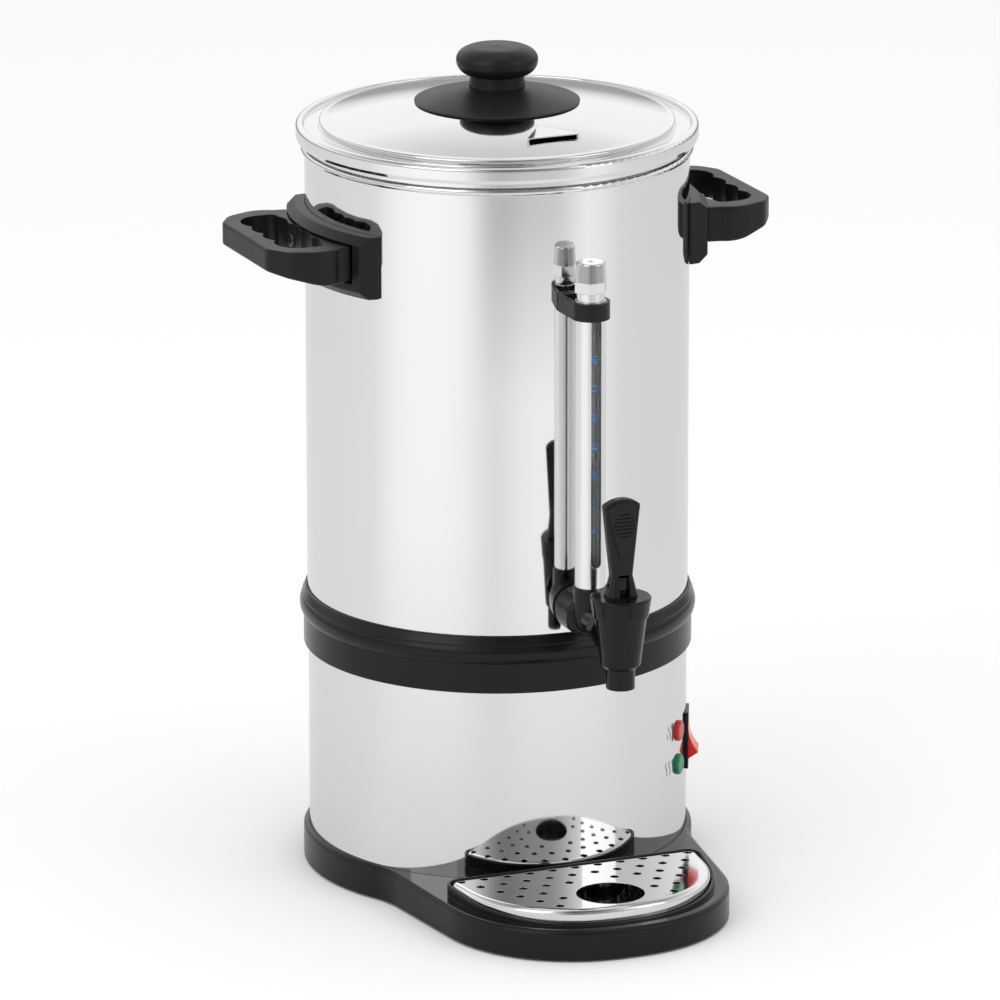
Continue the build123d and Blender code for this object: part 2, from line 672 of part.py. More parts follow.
def tie_rods():
    rods = []
    for angle in ROD_ANGLES:
        x, y = on_circle(ROD_CIRCLE, angle)
        rods.append(Pos(x, y, 0) * rod(ROD_RADIUS, SEAT_Z - LEDGE_THICKNESS - NUT_HEIGHT - 2, SHELF_Z))
    return Compound(rods)


def tie_nuts():
    high = SEAT_Z - LEDGE_THICKNESS
    nut = hexagon(NUT_FLATS, high - NUT_HEIGHT, high, ROD_RADIUS + RUNNING_GAP)
    return Compound([Pos(*on_circle(ROD_CIRCLE, a), 0) * nut for a in ROD_ANGLES])


# ---------------------------------------------------------------- vessel and heating
def vessel():
    outside = rod(VESSEL_RADIUS, SHELF_Z, RIM_Z)
    outside = fillet(outside.edges().group_by(Axis.Z)[0], VESSEL_CORNER)
    inside = rod(VESSEL_RADIUS - SHEET, SHELF_Z + SHEET, RIM_Z + 1)
    inside = fillet(inside.edges().group_by(Axis.Z)[0], VESSEL_CORNER - SHEET)
    bead_x = VESSEL_RADIUS + BEAD_PROUD - BEAD_RADIUS
    bead = turn_face(Pos(bead_x, RIM_Z - BEAD_DROP) * Circle(BEAD_RADIUS))
    shell = outside + bead - inside
    shell -= rod(WELL_RADIUS + CURVED_GAP, SHELF_Z - 1, SHELF_Z + SHEET + 1)
    shell -= across(SHANK_RADIUS + CURVED_GAP, VESSEL_RADIUS - 10, VESSEL_RADIUS + 10, SHANK_Z)
    for side in (-1, 1):
        for step in (-1, 1):
            screw = Pos(side * VESSEL_RADIUS, step * HANDLE_SCREW_SPREAD, HANDLE_Z)
            shell -= screw * Rot(0, 90, 0) * Cylinder(HANDLE_SCREW_HOLE, 20)
    return shell


def heater_well():
    top = SHELF_Z + SHEET
    cup = rod(WELL_RADIUS, top - WELL_DEPTH, top + SHEET)
    cup -= rod(WELL_RADIUS - SHEET, top - WELL_DEPTH + SHEET, top + 2 * SHEET)
    return cup + tube(WELL_RADIUS + WELL_FLANGE, WELL_RADIUS - SHEET, top, top + SHEET)


def cold_end_y():
    return sqrt(COIL_RADIUS**2 - COLD_END_OFFSET**2)


def boil_element():
    """Sheathed heating ring round the well, with its two cold ends turned down."""
    ring = turn_face(Pos(COIL_RADIUS, COIL_Z) * Circle(COIL_BAR))
    ring -= Pos(0, COIL_RADIUS, COIL_Z) * Box(COLD_END_OFFSET, 3 * COIL_BAR, 3 * COIL_BAR)
    for side in (-1, 1):
        place = Pos(side * COLD_END_OFFSET, cold_end_y(), 0)
        ring += place * rod(COIL_BAR * 0.7, COIL_Z - COLD_END, COIL_Z)
    return ring


def keep_warm_element():
    return tube(WARM_OUTER, WARM_INNER, SHELF_Z - WARM_THICKNESS, SHELF_Z)


def thermostat():
    x, y = THERMOSTAT_PLACE
    low = SHELF_Z - THERMOSTAT_HEIGHT
    body = rod(THERMOSTAT_RADIUS, low, SHELF_Z - 1.5) + rod(THERMOSTAT_RADIUS + 1.5, SHELF_Z - 1.5, SHELF_Z)
    offset_x, length = THERMOSTAT_TABS
    for side in (-1, 1):
        body += Pos(side * offset_x, 0, low - length / 2) * Box(3, 0.8, length)
    return Pos(x, y, 0) * body


def thermal_cutout():
    x, y = CUTOUT_PLACE
    low = SHELF_Z - CUTOUT_HEIGHT
    body = rod(CUTOUT_RADIUS, low, SHELF_Z)
    offset_x, length = CUTOUT_TABS
    for side in (-1, 1):
        body += Pos(side * offset_x, 0, low - length / 2) * Box(2, 0.8, length)
    return Pos(x, y, 0) * body


def terminal_block():
    length, depth, height = BLOCK_SIZE
    low = COVER_Z + COVER_THICKNESS
    block = Pos(0, 0, low + height / 2) * Box(length, depth, height)
    for column in range(3):
        x = (column - 1) * length / 3
        block -= Pos(x, depth / 4, 0) * rod(2.2, low + height - 5, low + height + 1)
    return Pos(BLOCK_PLACE[0], BLOCK_PLACE[1], 0) * block


def wiring():
    """Leads from the terminal block up to the thermostat, the cut-out and the heating ring."""
    low = COVER_Z + COVER_THICKNESS + BLOCK_SIZE[2]
    block_x, block_y = BLOCK_PLACE
    spread = BLOCK_SIZE[0] / 3
    thermostat_z = SHELF_Z - THERMOSTAT_HEIGHT - THERMOSTAT_TABS[1]
    cutout_z = SHELF_Z - CUTOUT_HEIGHT - CUTOUT_TABS[1]
    ends = [
        (block_x - spread, THERMOSTAT_PLACE[0] - THERMOSTAT_TABS[0], THERMOSTAT_PLACE[1], thermostat_z),
        (block_x, CUTOUT_PLACE[0] + CUTOUT_TABS[0], CUTOUT_PLACE[1], cutout_z),
        (block_x + spread, COLD_END_OFFSET, cold_end_y(), COIL_Z - COLD_END),
    ]
    leads = []
    for number, (start_x, end_x, end_y, end_z) in enumerate(ends):
        level = low + WIRE_RISE + WIRE_STEP * number
        start_y = block_y - BLOCK_SIZE[1] / 4
        route = FilletPolyline(
            (start_x, start_y, low),
            (start_x, start_y, level),
            (end_x, end_y, level + WIRE_SLANT),
            (end_x, end_y, end_z),
            radius=WIRE_BEND,
        )
        leads.append(sweep(Plane(route @ 0, z_dir=route % 0) * Circle(WIRE_RADIUS), path=route))
    return Compound(leads)


def cord_gland():
    """Grommet in the rear of the housing where the mains lead goes in."""
    nose = Cone(GLAND_FLANGE * 0.8, GLAND_RADIUS, GLAND_NOSE, align=UP)
    flange_end = HOUSING_RADIUS + GLAND_FLANGE_THICKNESS
    body = across(GLAND_FLANGE, HOUSING_RADIUS - 2, flange_end, GLAND_Z)
    body += Pos(0, -flange_end, GLAND_Z) * Rot(90, 0, 0) * nose
    body -= rod(HOUSING_RADIUS + CURVED_GAP / 2, 0, HOUSING_TOP_Z)
    body += across(GLAND_RADIUS, HOUSING_RADIUS - 12, HOUSING_RADIUS + 2, GLAND_Z)
    body -= across(GLAND_BORE, HOUSING_RADIUS - 20, HOUSING_RADIUS + 30, GLAND_Z)
    return azimuth(180, body)


def gland_nut():
    far = sqrt((HOUSING_RADIUS - HOUSING_WALL) ** 2 - GLAND_FLANGE**2) - CURVED_GAP
    nut = hexagon(2 * GLAND_FLANGE * 0.86, 0, 5, GLAND_RADIUS + RUNNING_GAP)
    return azimuth(180, Pos(0, -far + 5, GLAND_Z) * Rot(90, 0, 0) * nut)


# ---------------------------------------------------------------- switch and lamps
def switch_frame():
    """Switch case with its bezel; the bezel lies on the round wall."""
    plate = Pos(0, -HOUSING_RADIUS, SWITCH_Z) * Box(BEZEL_WIDTH, 2 * BEZEL_PROUD, BEZEL_HEIGHT)
    plate = fillet(plate.edges().filter_by(Axis.Y), 2.0)
    plate -= rod(HOUSING_RADIUS + CURVED_GAP / 2, 0, HOUSING_TOP_Z)
    case = Box(SWITCH_WIDTH, SWITCH_DEPTH + 1, SWITCH_TALL)
    body = plate + Pos(0, -HOUSING_RADIUS + SWITCH_DEPTH / 2 - 0.5, SWITCH_Z) * case
    depth = ROCKER_TALL / 2 + 1.5
    cavity = Box(ROCKER_WIDTH + 2 * ROCKER_SIDE_GAP, depth + 10, ROCKER_TALL + 2 * ROCKER_END_GAP)
    body -= Pos(0, -HOUSING_RADIUS + depth / 2 - 5, SWITCH_Z) * cavity
    pin = Pos(0, rocker_pivot(), SWITCH_Z) * Rot(0, 90, 0) * Cylinder(ROCKER_PIN, ROCKER_WIDTH + 2)
    return body + pin


def rocker_pivot():
    return -HOUSING_RADIUS + ROCKER_PIVOT


def rocker():
    """Rocker cap with a hollow face, turned to its resting side."""
    reach = ROCKER_TALL / 2
    edge = ROCKER_FACE / 2
    foot_length, foot_depth = ROCKER_FOOT
    line = ThreePointArc((-edge, ROCKER_END), (0, ROCKER_MIDDLE), (edge, ROCKER_END))
    line += Polyline(
        (edge, ROCKER_END),
        (reach, -ROCKER_END_GAP),
        (foot_length / 2, -foot_depth),
        (-foot_length / 2, -foot_depth),
        (-reach, -ROCKER_END_GAP),
        (-edge, ROCKER_END),
    )
    upright = Plane(origin=(0, 0, 0), x_dir=(0, 0, 1), z_dir=(1, 0, 0))
    body = extrude(upright * make_face(line), ROCKER_WIDTH / 2, both=True)
    body = fillet(body.edges().filter_by(Axis.X).group_by(Axis.Y)[0], 0.6)
    body -= Rot(0, 90, 0) * Cylinder(ROCKER_PIN + RUNNING_GAP, ROCKER_WIDTH + 4)
    return Pos(0, rocker_pivot(), SWITCH_Z) * Rot(-ROCKER_TILT, 0, 0) * body


def lamp(height):
    """Pilot lamp: domed lens with a shoulder, and its holder behind the wall."""
    lens = Cylinder(LAMP_RADIUS, LAMP_PROUD + 3, align=UP)
    lens = fillet(lens.edges().group_by(Axis.Z)[-1], LAMP_PROUD * 0.7)
    lens = Pos(0, -HOUSING_RADIUS + 3, height) * Rot(90, 0, 0) * lens
    lens -= rod(HOUSING_RADIUS + CURVED_GAP / 2, 0, HOUSING_TOP_Z)
    holder = across(LAMP_BODY, HOUSING_RADIUS - LAMP_DEPTH, HOUSING_RADIUS + 1, height)
    return azimuth(LAMP_AZIMUTH, lens + holder)


# ---------------------------------------------------------------- handles
def handle_plate():
    """Curved plate against the vessel, chamfered all round, with a recess for the grip."""
    low = HANDLE_TOP_Z - PLATE_HEIGHT
    body = sector(PLATE_INNER, PLATE_OUTER, PLATE_HALF_ANGLE, low, HANDLE_TOP_Z)
    bevel = PLATE_OUTER - PLATE_CHAMFER
    for edge_z, inward in ((HANDLE_TOP_Z, -1), (low, 1)):
        corner = [
            (bevel, edge_z),
            (PLATE_OUTER + 1, edge_z + inward * (PLATE_CHAMFER + 1)),
            (PLATE_OUTER + 1, edge_z - inward),
            (bevel, edge_z - inward),
        ]
        body -= turned(corner)
    block = Box(PLATE_HEIGHT, PLATE_HEIGHT, 2 * PLATE_HEIGHT, align=(Align.MIN, Align.CENTER, Align.CENTER))
    for side, turn in ((1, 0), (-1, 180)):
        x, y = on_circle(PLATE_INNER + PLATE_END_LAND, side * PLATE_HALF_ANGLE)
        heading = side * (PLATE_HALF_ANGLE - PLATE_END_LEAN) + turn
        body -= Pos(x, y, HANDLE_Z) * Rot(0, 0, heading) * block
    grip_low = GRIP_TOP_Z - GRIP_HEIGHT
    body -= sector(
        PLATE_OUTER - RECESS_DEPTH,
        PLATE_OUTER + 5,
        RECESS_HALF_ANGLE,
        grip_low - RECESS_MARGIN,
        GRIP_TOP_Z + RECESS_MARGIN,
    )
    return drill_handle(azimuth(90, body))


def grip_outline():
    """Half-round loop: bowed sides, a straight outer bar."""
    bevel_depth, bevel_width = GRIP_BEVEL
    half = [
        (PLATE_INNER - 40, GRIP_ROOT_HALF),
        (PLATE_OUTER - 2, GRIP_HALF_WIDTH - 5),
        (GRIP_SHOULDER, GRIP_HALF_WIDTH),
        (GRIP_REACH - bevel_depth, GRIP_CORNER + bevel_width),
        (GRIP_REACH, GRIP_CORNER),
    ]
    other = [(x, -y) for x, y in reversed(half)]
    shape = make_face(Polyline(*half, *other, close=True))
    outer = shape.vertices().filter_by(lambda v: v.X > GRIP_SHOULDER + 1)
    shape = fillet(outer, GRIP_CORNER_ROUND)
    bulge = shape.vertices().filter_by(lambda v: abs(v.X - GRIP_SHOULDER) < 0.5)
    return fillet(bulge, GRIP_WIDEST_ROUND)


def grip_side(low):
    """Side view of the grip: level top, underside that rises towards the outer bar."""
    start = PLATE_INNER - 41
    end = GRIP_REACH + 1
    face = make_face(
        Polyline(
            (start, low),
            (GRIP_SHOULDER, low),
            (end, low + GRIP_TAPER * (end - GRIP_SHOULDER)),
            (end, GRIP_TOP_Z),
            (start, GRIP_TOP_Z),
            close=True,
        )
    )
    bend = face.vertices().sort_by_distance((GRIP_SHOULDER, low, 0))[0]
    return extrude(Plane.XZ * fillet(bend, GRIP_TAPER_ROUND), 2 * GRIP_HALF_WIDTH, both=True)


def finger_hole():
    """Hand opening with four finger scallops along its outer side."""
    middle = (GRIP_ROOT_X + GRIP_HOLE_X) / 2
    hole = Pos(middle, 0) * Rectangle(GRIP_HOLE_X - GRIP_ROOT_X, 2 * GRIP_HOLE_HALF)
    hole = fillet(hole.vertices().group_by(Axis.X)[-1], 13)
    hole = fillet(hole.vertices().filter_by(lambda v: v.X < GRIP_ROOT_X + 0.1), 4)
    radius = ((FINGER_PITCH / 2) ** 2 + FINGER_DEPTH**2) / (2 * FINGER_DEPTH)
    for finger in range(FINGERS):
        y = (finger - (FINGERS - 1) / 2) * FINGER_PITCH
        hole += Pos(GRIP_HOLE_X + FINGER_DEPTH - radius, y) * Circle(radius)
    return hole


def handle_grip():
    low = GRIP_TOP_Z - GRIP_HEIGHT
    loop = (Pos(0, 0, low) * extrude(grip_outline(), GRIP_HEIGHT)) & grip_side(low)
    loop = fillet(loop.edges().group_by(Axis.Z)[-1], GRIP_EDGE)
    under = loop.faces().filter_by(lambda f: f.normal_at().Z < -0.5).edges()
    under = under.filter_by(lambda e: e.bounding_box().size.X > 0.01 or e.center().X > GRIP_REACH - 1)
    loop = fillet(under, GRIP_EDGE)
    loop -= Pos(0, 0, low) * extrude(finger_hole(), GRIP_HEIGHT)
    back = PLATE_OUTER - RECESS_DEPTH + CURVED_GAP
    loop -= rod(back, low - 1, GRIP_TOP_Z + 1)
    outside = azimuth(90, sector(PLATE_INNER - 30, PLATE_OUTER + CURVED_GAP, 60, low - 1, GRIP_TOP_Z + 1))
    end_angle = RECESS_HALF_ANGLE - GRIP_END_GAP
    root = azimuth(90, sector(PLATE_INNER - 31, PLATE_OUTER + 1, end_angle, low - 2, GRIP_TOP_Z + 2))
    return drill_handle(loop - (outside - root), head=True)


def drill_handle(body, head=False):
    """Screw holes through a right-hand handle piece, and the head recess in the grip."""
    for step in (-1, 1):
        axis = Pos(PLATE_INNER, step * HANDLE_SCREW_SPREAD, HANDLE_Z) * Rot(0, 90, 0)
        body -= axis * Cylinder(HANDLE_SCREW_HOLE, 2 * (GRIP_SHOULDER - PLATE_INNER))
        if head:
            start = GRIP_ROOT_X - HANDLE_HEAD_DEPTH
            seat = Pos(start, step * HANDLE_SCREW_SPREAD, HANDLE_Z) * Rot(0, 90, 0)
            body -= seat * Cylinder(HANDLE_HEAD + CURVED_GAP, GRIP_DEPTH / 2, align=UP)
    return body


def handle_screws():
    screws = []
    start = GRIP_ROOT_X - HANDLE_HEAD_DEPTH
    length = start - (VESSEL_RADIUS - SHEET - CAP_NUT_LENGTH + 1.5)
    for turn in (0, 180):
        for step in (-1, 1):
            seat = Rot(0, 0, turn) * Pos(start, step * HANDLE_SCREW_SPREAD, HANDLE_Z) * Rot(0, 90, 0)
            head = Cylinder(HANDLE_HEAD, HANDLE_HEAD_DEPTH, align=UP)
            head = fillet(top_edges(head), 1.2)
            head -= Pos(0, 0, HANDLE_HEAD_DEPTH) * (Box(4.6, 1, 2) + Box(1, 4.6, 2))
            shank = Pos(0, 0, -length) * Cylinder(HANDLE_SCREW, length + 0.1, align=UP)
            screws.append(seat * (head + shank))
    return Compound(screws)


def handle_nuts():
    """Closed nuts on the inside of the vessel, turned round to meet the wall."""
    nuts = []
    inner = sqrt((VESSEL_RADIUS - SHEET) ** 2 - (HANDLE_SCREW_SPREAD + CAP_NUT_RADIUS) ** 2) - RUNNING_GAP
    for turn in (0, 180):
        for step in (-1, 1):
            seat = Rot(0, 0, turn) * Pos(inner, step * HANDLE_SCREW_SPREAD, HANDLE_Z) * Rot(0, -90, 0)
            nut = Cylinder(CAP_NUT_RADIUS, CAP_NUT_LENGTH, align=UP)
            nut = fillet(nut.edges().group_by(Axis.Z)[-1], 2.2)
            nut -= Cylinder(HANDLE_SCREW + RUNNING_GAP, 2 * (CAP_NUT_LENGTH - 1.2))
            nuts.append(seat * nut)
    return Compound(nuts)


# ---------------------------------------------------------------- gauge
def gauge_elbow():
    """Plastic elbow: shank through the vessel, column for the gauge and outlet to the tap."""
    wall = VESSEL_RADIUS + GASKET
    column = rod(COLUMN_RADIUS, SHANK_Z, COLUMN_TOP_Z) + Pos(0, 0, SHANK_Z) * Sphere(COLUMN_RADIUS)
    boss = across(SHANK_FLANGE, wall, GAUGE_REACH, SHANK_Z)
    boss = fillet(boss.edges().group_by(Axis.Y)[0], BOSS_ROUND)
    outlet = across(OUTLET_RADIUS, GAUGE_REACH, TAP_REACH - BODY_RADIUS - WORKING_GAP, SHANK_Z)
    shank = across(SHANK_RADIUS, VESSEL_RADIUS - SHANK_INSIDE, GAUGE_REACH, SHANK_Z)
    body = front(GAUGE_REACH, column) + boss + outlet + shank
    body -= across(SHANK_BORE, VESSEL_RADIUS - SHANK_INSIDE - 1, TAP_REACH, SHANK_Z)
    body -= front(GAUGE_REACH, rod(GLASS_BORE, SHANK_Z, COLUMN_TOP_Z + 1))
    return body - front(GAUGE_REACH, rod(SHIELD_BORE, COLUMN_TOP_Z - GLASS_SOCKET, COLUMN_TOP_Z + 1))


def shank_gasket():
    ring = across(SHANK_FLANGE - 1, VESSEL_RADIUS - 6, VESSEL_RADIUS + GASKET, SHANK_Z)
    ring -= across(SHANK_RADIUS + RUNNING_GAP, VESSEL_RADIUS - 10, VESSEL_RADIUS + 10, SHANK_Z)
    return ring - rod(VESSEL_RADIUS + 0.02, SHELF_Z, RIM_Z)


def shank_nut():
    far = sqrt((VESSEL_RADIUS - SHEET) ** 2 - (SHANK_NUT_FLATS * 0.58) ** 2) - RUNNING_GAP
    nut = hexagon(SHANK_NUT_FLATS, 0, SHANK_NUT_THICKNESS, SHANK_RADIUS + RUNNING_GAP)
    return Pos(0, -far + SHANK_NUT_THICKNESS, SHANK_Z) * Rot(90, 0, 0) * nut


def gauge_glass():
    low = COLUMN_TOP_Z - GLASS_SOCKET
    return front(GAUGE_REACH, tube(GLASS_RADIUS, GLASS_BORE, low, SHIELD_TOP_Z + GAUGE_COLLAR - 2))


def gauge_seals():
    gap = RUNNING_GAP
    low = COLUMN_TOP_Z - GLASS_SOCKET
    lower = tube(SHIELD_BORE - gap, GLASS_RADIUS + gap, low, low + SEAL_HEIGHT)
    upper = tube(SHIELD_BORE - gap, GLASS_RADIUS + gap, SHIELD_TOP_Z - SEAL_HEIGHT, SHIELD_TOP_Z)
    return Compound([front(GAUGE_REACH, lower), front(GAUGE_REACH, upper)])


def gauge_shield():
    """Metal tube with the reading slot down its front."""
    body = tube(SHIELD_RADIUS, SHIELD_BORE, COLUMN_TOP_Z, SHIELD_TOP_Z)
    low = COLUMN_TOP_Z + SLOT_BOTTOM + SLOT_WIDTH / 2
    high = SHIELD_TOP_Z - SLOT_TOP
    slot = Pos(0, -SHIELD_RADIUS, (low + high) / 2) * Box(SLOT_WIDTH, SHIELD_RADIUS, high - low)
    slot += Pos(0, -SHIELD_RADIUS, low) * Rot(90, 0, 0) * Cylinder(SLOT_WIDTH / 2, SHIELD_RADIUS)
    slot += Pos(0, -SHIELD_RADIUS, high) * Rot(90, 0, 0) * Cylinder(SLOT_WIDTH / 2, SHIELD_RADIUS)
    return front(GAUGE_REACH, body - slot)


def gauge_clamp():
    """Plastic stirrup round the gauge's top, closed where it meets the vessel."""
    low = SHIELD_TOP_Z - CLAMP_DROP - CLAMP_HEIGHT
    outer = SHIELD_RADIUS + CLAMP_WALL
    middle = low + CLAMP_HEIGHT / 2
    sides = Pos(0, -VESSEL_RADIUS - GAUGE_STANDOFF / 2, middle) * Box(2 * outer, GAUGE_STANDOFF, CLAMP_HEIGHT)
    body = front(GAUGE_REACH, rod(outer, low, low + CLAMP_HEIGHT)) + sides
    open_depth = GAUGE_STANDOFF - CLAMP_WEB
    hollow = Box(2 * SHIELD_RADIUS, open_depth, 2 * CLAMP_HEIGHT)
    body -= Pos(0, -GAUGE_REACH + open_depth / 2, middle) * hollow
    body -= front(GAUGE_REACH, rod(SHIELD_RADIUS + RUNNING_GAP, low - 1, low + CLAMP_HEIGHT + 1))
    return body - rod(VESSEL_RADIUS + 0.02, SHELF_Z, RIM_Z)


def gauge_collar():
    low = SHIELD_TOP_Z
    ring = rod(COLLAR_RADIUS, low, low + GAUGE_COLLAR)
    return front(GAUGE_REACH, ring - rod(GLASS_RADIUS + RUNNING_GAP, low - 1, low + GAUGE_COLLAR - 2))


def gauge_cap():
    """Hexagon and tapered cap in one turned piece."""
    low = SHIELD_TOP_Z + GAUGE_COLLAR
    hexed = Pos(0, 0, low) * extrude(RegularPolygon(GAUGE_HEX_FLATS / 2, 6, major_radius=False), GAUGE_HEX)
    cone = Pos(0, 0, low + GAUGE_HEX) * Cone(CAP_FOOT_RADIUS, CAP_TOP_RADIUS, CAP_HEIGHT, align=UP)
    cone = fillet(cone.edges().group_by(Axis.Z)[-1], 1.0)
    body = hexed + cone
    top = low + GAUGE_HEX + CAP_HEIGHT
    return front(GAUGE_REACH, body - rod(1.2, top - 1.2, top + 1))


# ---------------------------------------------------------------- tap
def tap_body():
    """Tapered valve body: chamber, seat, spout and the inlet boss behind."""
    top = SHANK_Z + BODY_TOP_ABOVE
    skirt_z = BONNET_TOP_Z - BONNET_HEIGHT
    shoulder = BODY_FOOT_Z - SPOUT_SHOULDER
    outside = turned(
        [
            (0, SPOUT_Z),
            (SPOUT_RADIUS, SPOUT_Z),
            (SPOUT_RADIUS, shoulder),
            (BODY_FOOT_RADIUS, BODY_FOOT_Z),
            (BODY_RADIUS, skirt_z),
            (BODY_RADIUS, top),
            (0, top),
        ]
    )
    seat_z = BODY_FOOT_Z + 2.0
    chamber = turned(
        [
            (0, seat_z),
            (BODY_FOOT_RADIUS - BODY_WALL, seat_z),
            (BODY_RADIUS - BODY_WALL, skirt_z),
            (BODY_RADIUS - BODY_WALL, top + 1),
            (0, top + 1),
        ]
    )
    inlet = across(INLET_RADIUS, TAP_REACH - BODY_RADIUS, TAP_REACH, SHANK_Z)
    body = front(TAP_REACH, outside) + inlet
    body -= front(TAP_REACH, chamber)
    body -= front(TAP_REACH, rod(SEAT_BORE, SPOUT_Z, seat_z + 1))
    body -= front(TAP_REACH, rod(SPOUT_BORE, SPOUT_Z - 1, BODY_FOOT_Z - 1))
    return body - across(SHANK_BORE, TAP_REACH - BODY_RADIUS - 5, TAP_REACH, SHANK_Z)


def union_nut():
    low = TAP_REACH - BODY_RADIUS - UNION_LENGTH
    nut = hexagon(UNION_FLATS, 0, UNION_LENGTH - WORKING_GAP, OUTLET_RADIUS + RUNNING_GAP)
    return Pos(0, -low, SHANK_Z) * Rot(90, 0, 0) * nut


def tap_bonnet():
    """Screw cap of the tap, with pairs of fine grooves round its skirt."""
    low = BONNET_TOP_Z - BONNET_HEIGHT
    cap = Pos(0, 0, low) * Cone(BONNET_RADIUS - BONNET_TAPER, BONNET_RADIUS, BONNET_HEIGHT, align=UP)
    cap = fillet(top_edges(cap), 1.2)
    cap -= rod(BODY_RADIUS + CURVED_GAP, low - 1, BONNET_TOP_Z - BONNET_TOP)
    cap -= rod(STEM_RADIUS + RUNNING_GAP, low, BONNET_TOP_Z + 1)
    lean = degrees(atan2(BONNET_TAPER, BONNET_HEIGHT))
    middle = BONNET_RADIUS - BONNET_TAPER / 2
    line = Rot(lean, 0, 0) * Box(BONNET_LINE, 2 * BONNET_LINE, BONNET_HEIGHT - 4)
    for mark in range(BONNET_MARKS):
        angle = BONNET_FIRST_MARK + 360 * mark / BONNET_MARKS
        for side in (-BONNET_LINE_SPREAD, BONNET_LINE_SPREAD):
            cap -= azimuth(angle, Pos(side, -middle, low + BONNET_HEIGHT / 2) * line)
    return front(TAP_REACH, cap)


def seat_top():
    return BODY_FOOT_Z + 2.0 + RUNNING_GAP + CUP_HEIGHT


def seat_cup():
    """Silicone valve cup on the stem's end."""
    low = BODY_FOOT_Z + 2.0 + RUNNING_GAP
    cup = fillet(rod(CUP_RADIUS, low, low + CUP_HEIGHT).edges().group_by(Axis.Z)[-1], 1.5)
    return front(TAP_REACH, cup - rod(STEM_RADIUS + RUNNING_GAP, low + 3, low + CUP_HEIGHT + 1))


def valve_stem():
    low = BODY_FOOT_Z + 2.0 + RUNNING_GAP + 3
    stem = rod(STEM_RADIUS, low, BONNET_TOP_Z + 2)
    head_low = BONNET_TOP_Z + 1.2
    head_high = PIN_Z + STEM_HEAD_ABOVE
    head = Pos(0, 0, (head_low + head_high) / 2) * Box(STEM_HEAD, STEM_HEAD, head_high - head_low)
    head = fillet(head.edges().filter_by(Axis.X).group_by(Axis.Z)[-1], 0.45 * STEM_HEAD)
    body = stem + head
    return front(TAP_REACH, body - Pos(0, 0, PIN_Z) * Rot(0, 90, 0) * Cylinder(PIN_RADIUS + RUNNING_GAP, 20))


def valve_spring():
    """Coil spring between the cup and the bonnet."""
    low = seat_top() + SPRING_WIRE + RUNNING_GAP
    high = BONNET_TOP_Z - BONNET_TOP - SPRING_WIRE - RUNNING_GAP
    path = Helix(pitch=(high - low) / SPRING_TURNS, height=high - low, radius=SPRING_RADIUS)
    wire = sweep(Plane(path @ 0, z_dir=path % 0) * Circle(SPRING_WIRE), path=path, is_frenet=True)
    return front(TAP_REACH, Pos(0, 0, low) * wire)


def lever_section(width, depth, height):
    """Rounded cross-section of the lever at one height."""
    return Pos(0, 0, height) * RectangleRounded(width, depth, min(width, depth) * 0.3)


